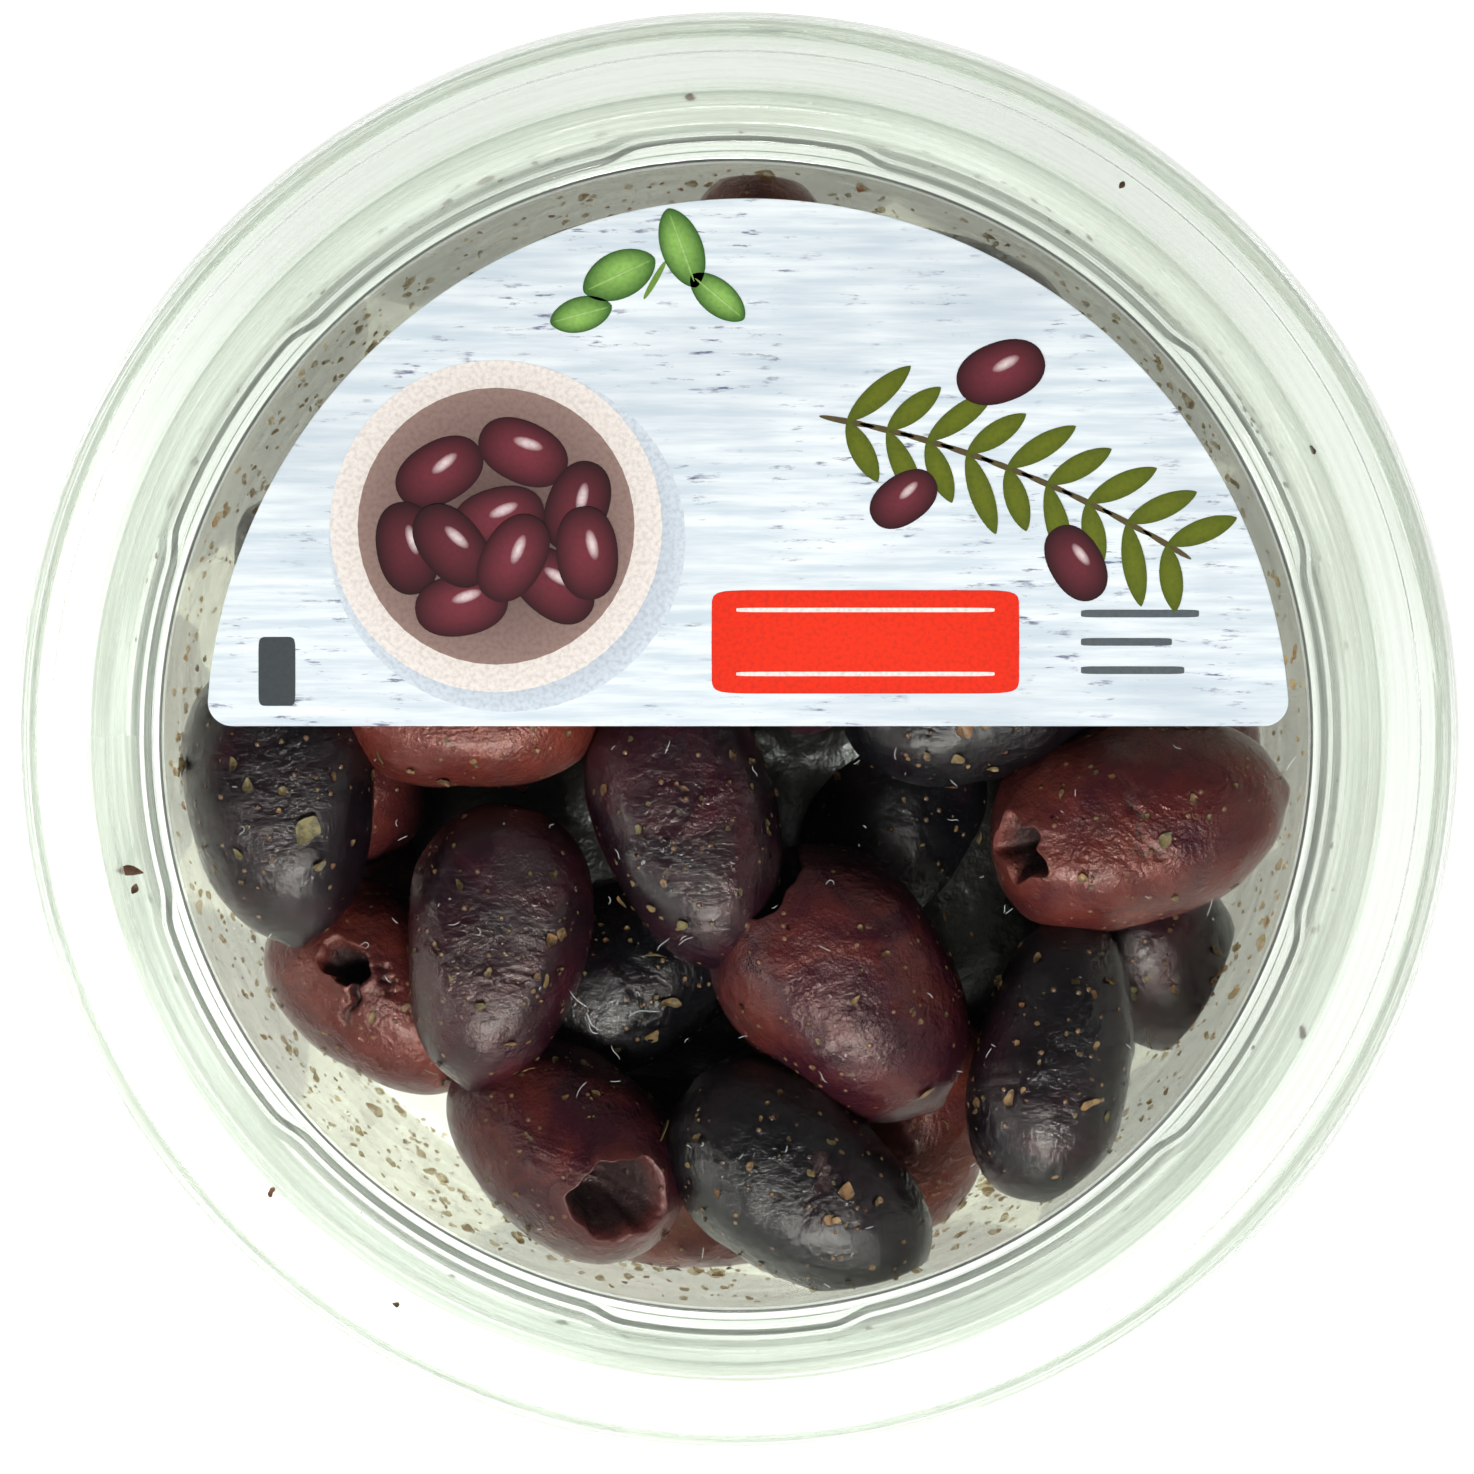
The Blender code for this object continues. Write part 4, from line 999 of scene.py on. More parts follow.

# Larger leaf bits, listed one by one: place (mm), length, width, kind, and turn in degrees
large_bits = np.array([
    (-34.9, -7.7, 2.7, 1.8, 0.92, 70), (-34.0, -10.5, 1.2, 0.9, 0.80, 20), (-40.6, -9.6, 1.1, 0.7, 0.90, 100),
    (-40.9, -2.4, 1.3, 0.6, 0.70, 80), (-29.3, -1.7, 1.7, 0.7, 0.85, 80), (-22.5, -12.2, 1.3, 0.5, 0.60, 100),
    (-15.0, -11.4, 1.1, 0.8, 0.80, 50), (-20.8, -21.9, 0.9, 0.8, 0.85, 10), (-18.5, -25.2, 1.2, 0.6, 0.40, 0),
    (-17.0, -27.3, 1.2, 0.7, 0.50, 30), (-25.0, -27.6, 1.6, 0.9, 0.70, 40),
    (-9.4, -13.6, 1.5, 0.7, 0.55, 120),
    (-6.9, -14.0, 1.0, 0.8, 0.75, 60), (-6.5, -17.9, 2.2, 0.8, 0.80, 160), (-5.6, -22.0, 2.0, 0.8, 0.75, 175),
    (-5.8, -32.6, 2.1, 0.9, 0.85, 105), (-3.1, -32.9, 0.9, 0.8, 0.60, 0), (8.9, -37.1, 1.5, 1.2, 0.40, 70),
    (8.1, -39.5, 0.9, 0.7, 0.55, 0), (17.1, -14.9, 1.2, 0.4, 0.50, 65), (19.3, -16.4, 0.6, 0.4, 0.45, 20),
    (20.0, -8.4, 1.5, 0.8, 0.85, 30), (15.6, -29.4, 1.8, 0.9, 0.50, 60), (17.4, -31.8, 1.3, 0.7, 0.50, 110),
    (28.9, -30.0, 1.9, 0.8, 0.50, 50), (30.8, -20.1, 1.5, 0.8, 0.55, 40), (27.7, -20.2, 1.0, 0.6, 0.80, 70),
    (33.9, -24.9, 1.9, 1.1, 0.80, 40), (27.0, -17.4, 0.9, 0.6, 0.75, 80), (34.9, -8.5, 1.5, 0.9, 0.85, 50),
    (37.2, -5.2, 0.9, 0.8, 0.60, 0), (26.5, -4.8, 0.9, 0.5, 0.60, 80), (18.1, -1.9, 1.3, 0.9, 0.70, 60),
    (20.9, -2.6, 1.2, 0.6, 0.80, 10), (15.6, -1.6, 0.9, 0.6, 0.60, 60), (11.5, -38.0, 1.0, 0.7, 0.50, 20),
])


def dropped_on_olives(x, y):
    """Height and normal of the skin where z - 4 * distance is greatest, as if each bit were dropped."""
    points = np.vstack([skins[index][0] for index in range(seen_count)])
    directions = np.vstack([skins[index][1] for index in range(seen_count)])
    high = directions[:, 2] > 0.15
    points, directions = points[high], directions[high]
    off = (points[None, :, 0] - x[:, None]) ** 2 + (points[None, :, 1] - y[:, None]) ** 2
    score = points[None, :, 2] - 4.0 * np.sqrt(off)
    best = np.argmax(score, axis=1)
    return points[best, 2] + 0.1 * MM, directions[best]


bit_x, bit_y = large_bits[:, 0] * MM, large_bits[:, 1] * MM
bit_z, bit_normals = dropped_on_olives(bit_x, bit_y)
bit_turn = np.radians(large_bits[:, 5])
bit_along = np.stack((np.cos(bit_turn), np.sin(bit_turn), 0.0 * bit_turn), axis=1)
bit_along -= (bit_along * bit_normals).sum(axis=1)[:, None] * bit_normals
herb_piece(
    "herb_leaves", np.stack((bit_x, bit_y, bit_z), axis=1), bit_normals,
    large_bits[:, 2] * MM, large_bits[:, 3] * MM, large_bits[:, 4], bit_along, seed=34,
)


def round_places(radius, angle, level):
    """Places at a radius, angle and height, and the direction round the tub at each."""
    places = np.stack((radius * np.cos(angle), radius * np.sin(angle), level), axis=1)
    return places, np.stack((-np.sin(angle), np.cos(angle), 0.0 * angle), axis=1)


WALL_BITS = 1500
angle = herb_draw.uniform(0.0, 2.0 * math.pi, WALL_BITS)
level = (2.5 + 38.5 * herb_draw.uniform(0.0, 1.0, WALL_BITS) ** 0.8) * MM
radius = wall_radius(level) - 0.45 * MM
facing = np.stack((-0.6 * np.cos(angle), -0.6 * np.sin(angle), 0.8 + 0.0 * angle), axis=1)
bit_length = np.clip(0.30 * np.exp(herb_draw.normal(0.0, 0.55, WALL_BITS)), 0.10, 1.2) * MM
places, along = round_places(radius, angle, level)
herb_piece(
    "herbs_on_wall", places, facing, bit_length * 1.6, bit_length * 0.8,
    herb_draw.uniform(0.0, 0.55, WALL_BITS) ** 1.1, along, seed=35, finish=soaked_leaf(),
)

LEDGE_BITS, CROWDED_BITS = 190, 110
angle = herb_draw.uniform(0.0, 2.0 * math.pi, LEDGE_BITS)
crowded = herb_draw.choice((25.0, 38.0, 60.0, 118.0, 150.0, 340.0), CROWDED_BITS)
angle[:CROWDED_BITS] = np.radians(crowded + herb_draw.normal(0.0, 7.0, CROWDED_BITS))
radius = herb_draw.uniform(48.9, 50.5, LEDGE_BITS) * MM
bit_length = np.clip(0.38 * np.exp(herb_draw.normal(0.0, 0.5, LEDGE_BITS)), 0.15, 1.3) * MM
places, along = round_places(radius, angle, np.full(LEDGE_BITS, LEDGE_HEIGHT + 0.04 * MM))
herb_piece(
    "herbs_on_ledge", places, np.repeat([(0.0, 0.0, 1.0)], LEDGE_BITS, axis=0), bit_length,
    0.45 * bit_length, herb_draw.uniform(0.0, 0.3, LEDGE_BITS), along, seed=36,
)


# Lid
# A clear push-on lid, moulded in one piece: a sunk flat panel, a stepped plug wall with the same six lugs, a
# beaded flat rim with a thumb rest at one side, and a skirt whose inner bead grips the tub's flange.

LID_WALL = 0.6 * MM
LID_HEIGHT = 48.0 * MM
LID_RADIUS = 59.0 * MM
PANEL_DEPTH = 3.6 * MM
PANEL_RADIUS = 47.15 * MM
PANEL_FILLET = 0.5 * MM
PLUG_DRAFT = 0.35 * MM
PLUG_WALL_OFFSET = 0.55 * MM
LID_LEDGE_HEIGHT = 45.7 * MM
LID_LEDGE_RADIUS = 49.8 * MM
BEAD_RADII = (50.75 * MM, 51.9 * MM)
RIM_DROP = 0.3 * MM
RIM_STEP_RADIUS = 55.5 * MM
RIM_STEP_DROP = 0.5 * MM
SHOULDER_RADIUS = 58.1 * MM
SHOULDER_FILLET = 1.1 * MM
SKIRT_BOTTOM = 42.6 * MM
GRIP_RADIUS = 57.45 * MM
GRIP_HEIGHT = 44.1 * MM
GRIP_DEPTH = 0.6 * MM
THUMB_RADII = (55.95 * MM, 57.35 * MM)
THUMB_ANGLES = (0.5, 88.5)
THUMB_SINK = 0.28 * MM

panel = LID_HEIGHT - PANEL_DEPTH
rim = LID_HEIGHT - RIM_DROP
rim_edge = LID_HEIGHT - RIM_STEP_DROP
lid_corners = [
    (0.0, panel, 0.0, 0.0),
    (PANEL_RADIUS, panel, PANEL_FILLET, 0.0),
    (PANEL_RADIUS + PLUG_DRAFT, LID_LEDGE_HEIGHT, 0.25 * MM, 1.0),
    (LID_LEDGE_RADIUS, LID_LEDGE_HEIGHT, 0.3 * MM, 0.0),
    (BEAD_RADII[0], LID_HEIGHT, 0.4 * MM, 0.0),
    (BEAD_RADII[1], LID_HEIGHT, 0.3 * MM, 0.0),
    (BEAD_RADII[1] + RIM_DROP, rim, SMALL_FILLET, 0.0),
    (RIM_STEP_RADIUS, rim, SMALL_FILLET, 0.0),
    (RIM_STEP_RADIUS + SMALL_STEP, rim_edge, SMALL_FILLET, 0.0),
    *((radius, rim_edge, 0.0, 0.0) for radius in np.linspace(THUMB_RADII[0], THUMB_RADII[1] - 0.3 * MM, 12)),
    (SHOULDER_RADIUS, rim_edge, SHOULDER_FILLET, 0.0),
    (LID_RADIUS, SKIRT_BOTTOM, SMALL_FILLET, 0.0),
    (LID_RADIUS - LID_WALL, SKIRT_BOTTOM, SMALL_FILLET, 0.0),
    (GRIP_RADIUS + GRIP_DEPTH, GRIP_HEIGHT - GRIP_DEPTH, 0.3 * MM, 0.0),
    (GRIP_RADIUS, GRIP_HEIGHT, 0.4 * MM, 0.0),
    (GRIP_RADIUS + GRIP_DEPTH, GRIP_HEIGHT + GRIP_DEPTH, 0.3 * MM, 0.0),
    (SHOULDER_RADIUS - SMALL_STEP, rim_edge - LID_WALL, SHOULDER_FILLET - LID_WALL, 0.0),
    *((radius, rim_edge - LID_WALL, 0.0, 0.0)
      for radius in np.linspace(THUMB_RADII[1] - 0.3 * MM, THUMB_RADII[0], 12)),
    (RIM_STEP_RADIUS, rim_edge - LID_WALL, SMALL_FILLET, 0.0),
    (RIM_STEP_RADIUS - SMALL_STEP, rim - LID_WALL, SMALL_FILLET, 0.0),
    (BEAD_RADII[1] + RIM_DROP, rim - LID_WALL, SMALL_FILLET, 0.0),
    (BEAD_RADII[1] - 0.5 * SMALL_STEP, LID_HEIGHT - LID_WALL, SMALL_FILLET, 0.0),
    (BEAD_RADII[0] + 2.0 * SMALL_STEP, LID_HEIGHT - LID_WALL, SMALL_FILLET, 0.0),
    (LID_LEDGE_RADIUS + 2.0 * SMALL_STEP, LID_LEDGE_HEIGHT - LID_WALL, 0.6 * MM, 0.0),
    (PANEL_RADIUS + PLUG_WALL_OFFSET + PLUG_DRAFT, LID_LEDGE_HEIGHT - LID_WALL, SMALL_FILLET, 1.0),
    (PANEL_RADIUS + PLUG_WALL_OFFSET, panel - LID_WALL, PANEL_FILLET + LID_WALL, 0.0),
    (0.0, panel - LID_WALL, 0.0, 0.0),
]


def thumb_rest(radii, heights, angles):
    """Sinks a crescent of the rim: full between two angles and radii, and easing off over 0.2 mm at its edge.

    The crescent's inner edge bows out towards its ends, so that they run to points.
    """
    middle = 0.5 * (THUMB_ANGLES[0] + THUMB_ANGLES[1])
    share = np.clip(1.0 - ((np.degrees(angles) - middle) / (middle - THUMB_ANGLES[0])) ** 2, 0.0, 1.0)
    inner = THUMB_RADII[1] - (THUMB_RADII[1] - THUMB_RADII[0]) * np.sqrt(share)[None, :]
    past = np.clip((radii - inner) / (0.2 * MM), 0.0, 1.0)
    before_end = np.clip((THUMB_RADII[1] + 0.15 * MM - radii) / (0.2 * MM), 0.0, 1.0)
    on_rim = (heights > rim_edge - LID_WALL - 0.1 * MM) & (share[None, :] > 0.0)
    return -THUMB_SINK * past * before_end * on_rim


lid = mesh_object("lid_shell", *turned_grid(rounded_outline(lid_corners), thumb_rest))
lid.data.materials.append(clear_plastic("clear_lid_plastic", (0.962, 0.985, 0.955), 1.49, 24.0, 0.12, 0.22))
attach(lid, "root")
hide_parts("lid")


# Oil drops and bubbles
# Drops of red oil from the marinade that sit on the olives, and small rings of the same oil where bubbles
# burst under the panel. They cling to the skins and to the plastic.


def drop_points(places, radii, squash):
    """Points and faces of many drops, each a ball of 10 rings by 14 sides flattened by squash along Z."""
    rings, sides = 10, 14
    ball = ball_directions(rings, sides) * np.array((1.0, 1.0, squash))
    points = (places[:, None, :] + ball[None, :, :] * radii[:, None, None]).reshape(-1, 3)
    starts = np.arange(len(places))[:, None, None] * len(ball)
    faces = [(part[None, :, :] + starts).reshape(-1, part.shape[1]) for part in ball_faces(rings, sides)]
    return points, faces


def ring_points(places, radii, thickness):
    """Points and faces of many flat rings: (R + r cos q) around and r sin q up, 24 by 6 to each."""
    count, sides = 24, 6
    around = np.linspace(0.0, 2.0 * math.pi, count, endpoint=False)[None, :, None]
    over = np.linspace(0.0, 2.0 * math.pi, sides, endpoint=False)[None, None, :]
    reach = radii[:, None, None] + thickness * np.cos(over)
    x, y = reach * np.cos(around), reach * np.sin(around)
    points = np.stack((x, y, thickness * np.sin(over) + 0.0 * x), axis=-1) + places[:, None, None, :]
    rows, columns = np.meshgrid(np.arange(count), np.arange(sides), indexing="ij")
    next_row, next_column = (rows + 1) % count, (columns + 1) % sides
    corners = ((rows, columns), (next_row, columns), (next_row, next_column), (rows, next_column))
    quads = np.stack([row * sides + column for row, column in corners], axis=-1).reshape(-1, 4)
    starts = np.arange(len(places))[:, None, None] * (count * sides)
    return points.reshape(-1, 3), (quads[None] + starts).reshape(-1, 4)


def red_oil():
    """Clear oil with a red tint."""
    made, tree = node_tree("red_oil")
    return finished(made, add_node(tree, "ShaderNodeBsdfPrincipled", {
        "Base Color": (0.93, 0.62, 0.50, 1.0), "Roughness": 0.03, "IOR": 1.47, "Transmission Weight": 1.0,
    }))


DROPS = 90
BARE_OLIVES = 16

oil = red_oil()
drop_draw = np.random.default_rng(41)
points, directions, flesh = (
    np.concatenate([skins[index][part][:-2][::7] for index in range(BARE_OLIVES)]) for part in range(3)
)
chosen = drop_draw.choice(np.flatnonzero((directions[:, 2] > 0.35) & (flesh < 0.1)), DROPS, replace=False)
drop_radii = np.clip(0.16 * np.exp(drop_draw.normal(0.0, 0.45, DROPS)), 0.08, 0.5) * MM
drops = mesh_object("oil_drops", *drop_points(points[chosen], drop_radii, 0.75))
drops.data.materials.append(oil)
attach(drops, "root")

# Place (mm) and radius of each burst bubble under the panel
bubble_rings = np.array([
    (-1.9, -8.6, 0.30), (-1.3, -9.7, 0.38), (-1.4, -11.5, 0.34), (-14.1, -21.8, 0.22), (-12.7, -22.2, 0.16),
    (-11.2, -30.2, 0.26), (17.9, -19.8, 0.22), (18.1, -21.0, 0.26), (-24.5, -9.2, 0.20), (3.1, -31.0, 0.24),
])
RING_THICKNESS = 0.055 * MM
ring_level = np.full(len(bubble_rings), panel - LID_WALL - 0.06 * MM)
ring_places = np.column_stack((bubble_rings[:, :2] * MM, ring_level))
rings_left = mesh_object("bubble_rings", *ring_points(ring_places, bubble_rings[:, 2] * MM, RING_THICKNESS))
rings_left.data.materials.append(oil)
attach(rings_left, "root")


# Scratches and lint
# Handling leaves short pale scratches and threads of lint on the lid, and a few red and brown crumbs on its
# rim.


def thread_strips(starts, headings, lengths, bends, width):
    """Points and faces of thin strips of 12 rows whose heading turns by bend * s + 0.7 sin(4 s) along s."""
    count = 12
    part = np.linspace(0.0, 1.0, count)[None, :]
    wave = 0.7 * np.sin(4.0 * part + 9.0 * headings[:, None]) * np.sign(bends)[:, None]
    heading = headings[:, None] + bends[:, None] * part + wave * np.abs(bends)[:, None]
    step = lengths[:, None] / (count - 1)
    x = starts[:, 0:1] + np.cumsum(np.cos(heading) * step, axis=1)
    y = starts[:, 1:2] + np.cumsum(np.sin(heading) * step, axis=1)
    taper = 0.5 * width * np.sqrt(np.maximum(1.0 - (2.0 * part - 1.0) ** 4, 0.05))
    across_x, across_y = -np.sin(heading) * taper, np.cos(heading) * taper
    z = np.broadcast_to(starts[:, 2:3], x.shape)
    left = np.stack((x + across_x, y + across_y, z), axis=-1)
    right = np.stack((x - across_x, y - across_y, z), axis=-1)
    points = np.stack((left, right), axis=2).reshape(-1, 3)
    near = np.arange(count - 1) * 2
    quads = np.stack((near, near + 1, near + 3, near + 2), axis=-1)
    return points, (quads[None] + 2 * count * np.arange(len(starts))[:, None, None]).reshape(-1, 4)


def pale_thread():
    """Pale lint and scuffed plastic."""
    made, tree = node_tree("pale_thread")
    return finished(made, add_node(tree, "ShaderNodeBsdfPrincipled", {
        "Base Color": (0.62, 0.66, 0.66, 1.0), "Roughness": 0.6,
    }))


thread_draw = np.random.default_rng(51)
by_hand = np.array([
    (-13.6, -20.6, -0.9, 2.0), (-12.3, -22.4, -1.1, 1.6), (-12.0, -23.4, -1.0, 1.2), (-4.8, -17.1, 0.1, 1.4),
    (-8.8, -23.0, 0.6, 2.6), (-13.0, -29.6, 1.2, 1.6), (7.2, -12.2, 0.4, 1.1), (1.6, -3.4, 0.7, 1.0),
    (-9.5, -26.5, 1.4, 1.4), (20.3, -26.3, 1.3, 0.9), (-27.6, -8.6, 0.5, 0.9), (-21.0, -16.3, 1.2, 0.8),
])
LINT = 70
LINT_WIDTH = 0.032 * MM
lint_turn = thread_draw.uniform(0.0, 2.0 * math.pi, LINT)
lint_out = 45.0 * np.sqrt(thread_draw.uniform(0.0, 1.0, LINT))
lint_x = np.append(by_hand[:, 0], lint_out * np.cos(lint_turn))
lint_y = np.append(by_hand[:, 1], -np.abs(lint_out * np.sin(lint_turn)) - 0.6)
starts = np.column_stack((lint_x * MM, lint_y * MM, np.full(len(lint_x), panel + 0.03 * MM)))
headings = np.append(by_hand[:, 2], thread_draw.uniform(0.0, math.pi, LINT))
lengths = np.append(by_hand[:, 3], np.clip(0.5 * np.exp(thread_draw.normal(0.0, 0.5, LINT)), 0.2, 1.5)) * MM
bends = thread_draw.normal(0.0, 0.9, len(lint_x))
lint = mesh_object("lint", *thread_strips(starts, headings, lengths, bends, LINT_WIDTH))
lint.data.materials.append(pale_thread())
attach(lint, "root")

# Crumbs on the rim: place (mm), length, width, kind
rim_crumbs = np.array([
    (-49.0, -10.9, 2.2, 0.7, 0.12), (-48.6, -12.4, 0.9, 0.5, 0.15), (-3.7, 51.6, 0.9, 0.5, 0.35),
    (10.0, 44.2, 0.7, 0.5, 0.30), (45.8, -24.0, 1.1, 0.6, 0.15), (46.6, 23.1, 0.8, 0.4, 0.05),
    (-37.6, -36.9, 0.9, 0.5, 0.30), (31.2, 44.5, 0.7, 0.4, 0.10), (-27.5, -46.0, 0.6, 0.4, 0.30),
])
crumb_places = np.column_stack((rim_crumbs[:, :2] * MM, np.full(len(rim_crumbs), LID_HEIGHT - 0.2 * MM)))
herb_piece(
    "rim_crumbs", crumb_places, np.repeat([(0.0, 0.0, 1.0)], len(rim_crumbs), axis=0),
    rim_crumbs[:, 2] * MM, rim_crumbs[:, 3] * MM, rim_crumbs[:, 4], seed=37,
)


# Label
# A sheet of coated paper, cut to a half disc with rounded corners and stuck on the far half of the panel.
# The print is whitewashed boards with plain shapes: a dish of olives, an olive branch, and a red bar.

LABEL_RADIUS = 44.0 * MM
LABEL_CENTRE = np.array((0.97 * MM, -0.36 * MM))
LABEL_CUT = 0.77 * MM
LABEL_CORNER = 2.0 * MM
LABEL_THICKNESS = 0.3 * MM
LABEL_BOTTOM = panel + GAP


def label_outline():
    """Corner arc at the right, the long arc, and corner arc at the left, as one closed line."""
    inner = LABEL_RADIUS - LABEL_CORNER
    rise = LABEL_CUT + LABEL_CORNER - LABEL_CENTRE[1]
    side = math.sqrt(inner ** 2 - rise ** 2)
    lean = math.atan2(rise, side)
    corner = np.linspace(-0.5 * math.pi, lean, 16, endpoint=False)
    long_arc = np.linspace(lean, math.pi - lean, 200)
    right = np.stack((side + LABEL_CORNER * np.cos(corner), rise + LABEL_CORNER * np.sin(corner)), axis=1)
    left = right[::-1] * np.array((-1.0, 1.0))
    arc = LABEL_RADIUS * np.stack((np.cos(long_arc), np.sin(long_arc)), axis=1)
    return np.vstack((right, arc, left)) + LABEL_CENTRE


def label_sheet():
    """The outline at three levels: bottom, just under the top, and the top drawn in by 0.04 mm."""
    outline = label_outline()
    count = len(outline)
    middle = np.array((LABEL_CENTRE[0], 16.0 * MM))
    inward = (middle - outline) / np.linalg.norm(middle - outline, axis=1)[:, None]
    top = LABEL_BOTTOM + LABEL_THICKNESS
    levels = ((0.0, LABEL_BOTTOM), (0.0, top - 0.04 * MM), (0.04 * MM, top))
    points = np.vstack([
        np.column_stack((outline + inward * drawn, np.full(count, level))) for drawn, level in levels
    ])
    ring = np.arange(count)
    rows, columns = np.meshgrid(np.arange(2), ring, indexing="ij")
    near, far = rows * count + columns, rows * count + (columns + 1) % count
    quads = np.stack((near, far, far + count, near + count), axis=-1).reshape(-1, 4)
    return points, [quads, (2 * count + ring)[None, :], ring[::-1][None, :]]


def whitewashed_boards():
    """Satin paper printed with pale boards: blue white, with dark short streaks where the wash has worn."""
    made, tree = node_tree("whitewashed_boards")
    where = object_place(tree)
    grain_place, streak_place = (
        add_node(tree, "ShaderNodeMapping", {0: where, 3: scale}).outputs[0]
        for scale in ((70.0, 900.0, 1.0), (240.0, 1500.0, 1.0))
    )
    grain = spread(tree, noise(tree, grain_place, 1.0, 5.0, 0.6), 0.3, 0.7)
    cloud = spread(tree, noise(tree, where, 60.0), 0.40, 0.75, 0.0, 0.45)
    worn = spread(tree, noise(tree, streak_place, 1.0, 5.0, 0.7), 0.56, 0.66)
    gate = spread(tree, noise(tree, where, 170.0, 4.0, 0.65), 0.42, 0.62)
    wash = mixed_colour(tree, grain, (0.60, 0.69, 0.75), (0.88, 0.93, 0.94))
    shade = mixed_colour(tree, cloud, wash, (0.50, 0.57, 0.63))
    colour = mixed_colour(tree, computed(tree, "MULTIPLY", worn, gate), shade, (0.16, 0.17, 0.26))
    return finished(made, add_node(tree, "ShaderNodeBsdfPrincipled", {
        "Base Color": colour, "Roughness": 0.38,
    }))


label = mesh_object("label_sheet", *label_sheet(), smooth=False)
label.data.materials.append(whitewashed_boards())
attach(label, "root")
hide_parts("label")

INK_STEP = 0.006 * MM
BLOB_SIDES = 44
BLOB_RINGS = (0.0, 0.3, 0.55, 0.78, 0.93, 1.0)
blob_points, blob_faces, blob_inks = [], [], []


def printed_shape(
    x, y, length, width, turn, layer, ink, edge_ink=None, point=0.0, square=2.0, toward=(0.0, 0.0),
):
    """One flat printed shape in rings, its ink running from the middle to the edge, or all one.

    The outline is a superellipse of the given squareness, a = length / 2 and
    b = width / 2 * |sin t| ** point, so that a higher point makes it a leaf. The rings shrink towards a place
    off the middle, as a gloss does.
    """
    t = np.linspace(0.0, 2.0 * math.pi, BLOB_SIDES, endpoint=False)
    cosine, sine = np.cos(t), np.sin(t)
    u = 0.5 * length * np.sign(cosine) * np.abs(cosine) ** (2.0 / square)
    v = 0.5 * width * np.sign(sine) * np.abs(sine) ** (2.0 / square + point)
    share = np.array(BLOB_RINGS)[:, None]
    u, v = share * u + (1.0 - share) * toward[0], share * v + (1.0 - share) * toward[1]
    lean = math.radians(turn)
    level = (LABEL_BOTTOM + LABEL_THICKNESS) / MM + (layer + 1) * INK_STEP / MM
    points = np.stack((
        x + u * math.cos(lean) - v * math.sin(lean), y + u * math.sin(lean) + v * math.cos(lean),
        np.full_like(u, level),
    ), axis=-1).reshape(-1, 3) * MM
    blob_faces.append(ring_quads(len(BLOB_RINGS), BLOB_SIDES) + sum(map(len, blob_points)))
    middle, edge = np.array(ink), np.array(ink if edge_ink is None else edge_ink)
    blob_points.append(points)
    blob_inks.append(np.repeat(middle + (edge - middle) * share ** 1.6, BLOB_SIDES, axis=0))


def printed_olive(x, y, length, turn, layer, dark=0.0):
    """A printed olive: wine red with a dark edge, a soft light and a small gloss."""
    body = np.array((0.130, 0.020, 0.030)) * (1.0 - 0.6 * dark)
    width = 0.66 * length
    printed_shape(x, y, length, width, turn, layer, body * 1.5, body * 0.22, square=2.2, toward=(0.1, 0.1))
    gloss = (0.34 * length, 0.13 * length, turn + 8, layer + 1, (0.78, 0.62, 0.62), body * 1.4)
    printed_shape(x + 0.4, y + 0.7, *gloss)


DISH_X, DISH_Y = -19.5, 17.0
printed_shape(DISH_X + 0.9, DISH_Y - 1.1, 29.0, 28.0, 0, 0, (0.20, 0.22, 0.30), (0.66, 0.73, 0.79))
printed_shape(DISH_X, DISH_Y, 27.0, 27.0, 0, 1, (0.62, 0.52, 0.46), (0.86, 0.80, 0.74))
printed_shape(DISH_X, DISH_Y, 22.5, 22.5, 0, 2, (0.10, 0.055, 0.05), (0.30, 0.20, 0.17))
dish_olives = (
    (-4.6, 4.4, 30, 0.2), (2.2, 6.0, -25, 0.0), (6.6, 1.6, 70, 0.5), (-7.2, -1.8, 100, 0.6),
    (0.2, 0.6, 15, 0.1), (4.6, -4.8, -40, 0.3), (-2.8, -6.4, 10, 0.0), (-3.6, -1.6, -50, 0.5),
    (7.4, -2.2, 95, 0.1), (1.4, -2.6, 60, 0.0),
)
for count, (off_x, off_y, turn, dark) in enumerate(dish_olives):
    printed_olive(DISH_X + off_x, DISH_Y + off_y, 7.6, turn, 3 + 2 * count, dark)

GREEN_DARK, GREEN_LIGHT = (0.030, 0.110, 0.018), (0.30, 0.56, 0.12)
OLIVE_GREEN = (0.135, 0.165, 0.008)
branch = np.linspace(0.0, 1.0, 9)
branch_x, branch_y = 9.0 + 26.0 * branch, 25.5 - 5.0 * branch - 5.0 * branch ** 2
for count, (x, y, along) in enumerate(zip(branch_x, branch_y, branch)):
    lean = -11.0 - 20.0 * along
    printed_shape(x, y, 4.6, 0.5, lean, 3, (0.10, 0.075, 0.03))
    for hand in (-1.0, 1.0):
        reach = 3.1 + 0.4 * math.sin(3.0 * count + hand)
        angle = math.radians(lean + hand * 52.0)
        printed_shape(
            x + reach * math.cos(angle), y + reach * math.sin(angle), 2.0 * reach, 1.9, lean + hand * 52.0,
            4 + count % 2, OLIVE_GREEN, (0.085, 0.115, 0.006), point=0.55,
        )
printed_olive(21.5, 29.5, 7.4, 20, 7, 0.1)
printed_olive(27.6, 14.0, 6.6, -60, 7, 0.4)
printed_olive(13.6, 19.2, 6.0, 35, 7, 0.2)

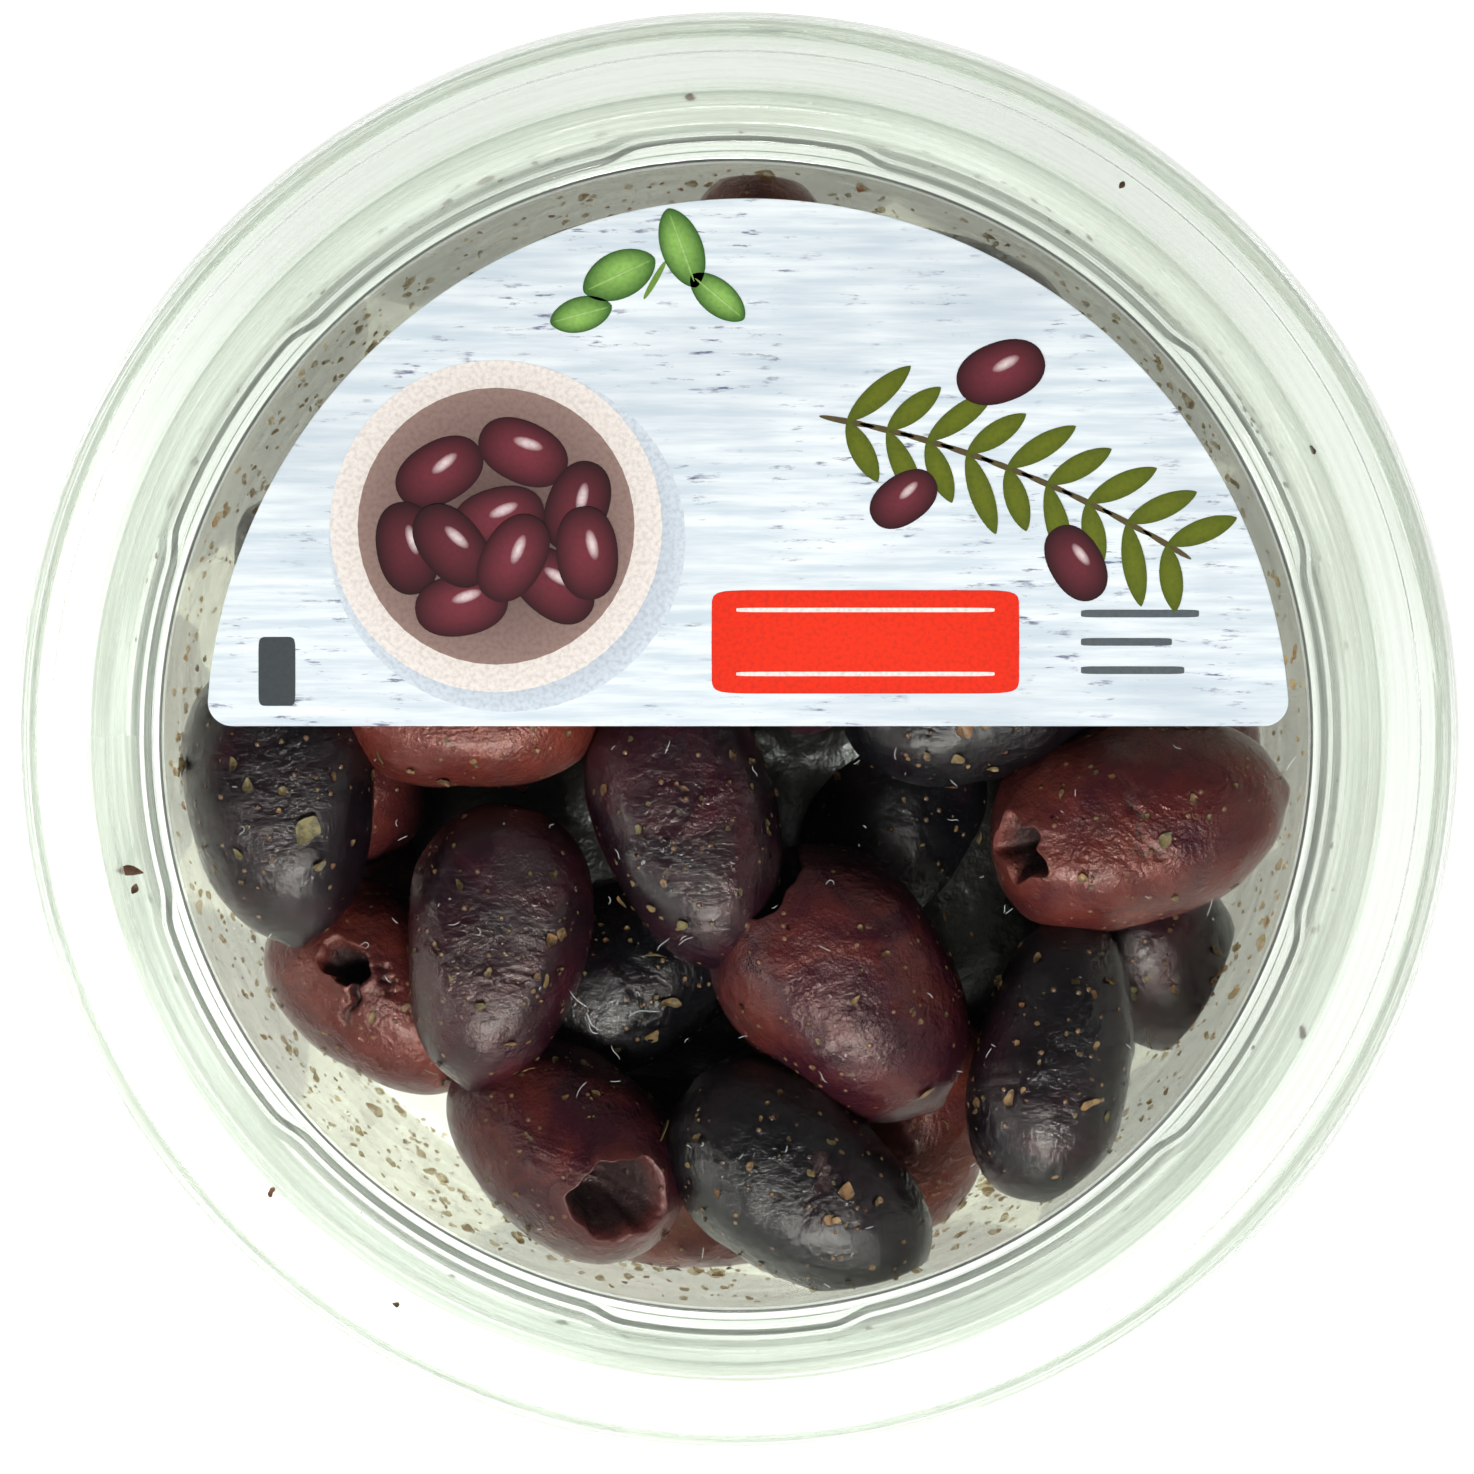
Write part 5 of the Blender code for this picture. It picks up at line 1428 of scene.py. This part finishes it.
sprig = (
    (-9.5, 37.4, 6.4, 25, 0.6), (-4.4, 39.6, 6.8, 110, 0.5), (-12.6, 34.2, 5.2, 195, 0.55),
    (-1.5, 35.6, 5.6, -40, 0.5),
)
for x, y, length, turn, share in sprig:
    width = share * length
    printed_shape(x, y, length, width, turn, 3, GREEN_LIGHT, GREEN_DARK, point=0.25, toward=(0.4, 0.3))
    printed_shape(x, y, 0.86 * length, 0.24, turn, 4, (0.42, 0.62, 0.22), (0.20, 0.42, 0.08))
printed_shape(-6.6, 37.0, 3.6, 0.5, 60, 2, (0.16, 0.30, 0.05))

printed_shape(10.5, 7.6, 25.0, 8.4, 0, 3, (0.90, 0.030, 0.004), (0.84, 0.024, 0.003), square=14.0)
for y in (5.0, 10.2):
    printed_shape(10.5, y, 21.0, 0.36, 0, 4, (0.88, 0.82, 0.76), square=8.0)
for count, length in enumerate((9.6, 7.4, 8.4)):
    x, y = 28.0 + 0.5 * length, 9.9 - 2.3 * count
    printed_shape(x, y, length, 0.62, 0, 3, (0.10, 0.12, 0.13), square=8.0)
printed_shape(-37.3, 5.2, 3.0, 5.6, 0, 3, (0.055, 0.065, 0.07), square=9.0)


def printing_ink():
    """Printing ink under the same satin film, its colour read from the mesh, with a fine screen of grain."""
    made, tree = node_tree("printing_ink")
    ink = add_node(tree, "ShaderNodeAttribute", attribute_name="ink").outputs["Color"]
    grain = spread(tree, noise(tree, object_place(tree), 2600.0), 0.35, 0.75, 0.0, 0.22)
    colour = mixed_colour(tree, grain, ink, (0.02, 0.015, 0.02))
    return finished(made, add_node(tree, "ShaderNodeBsdfPrincipled", {
        "Base Color": colour, "Roughness": 0.38,
    }))


prints = mesh_object("label_print", np.vstack(blob_points), blob_faces, smooth=False)
inks = prints.data.attributes.new("ink", "FLOAT_COLOR", "POINT")
ink_values = np.column_stack((np.vstack(blob_inks), np.ones(len(prints.data.vertices))))
inks.data.foreach_set("color", ink_values.ravel())
prints.data.materials.append(printing_ink())
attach(prints, "root")
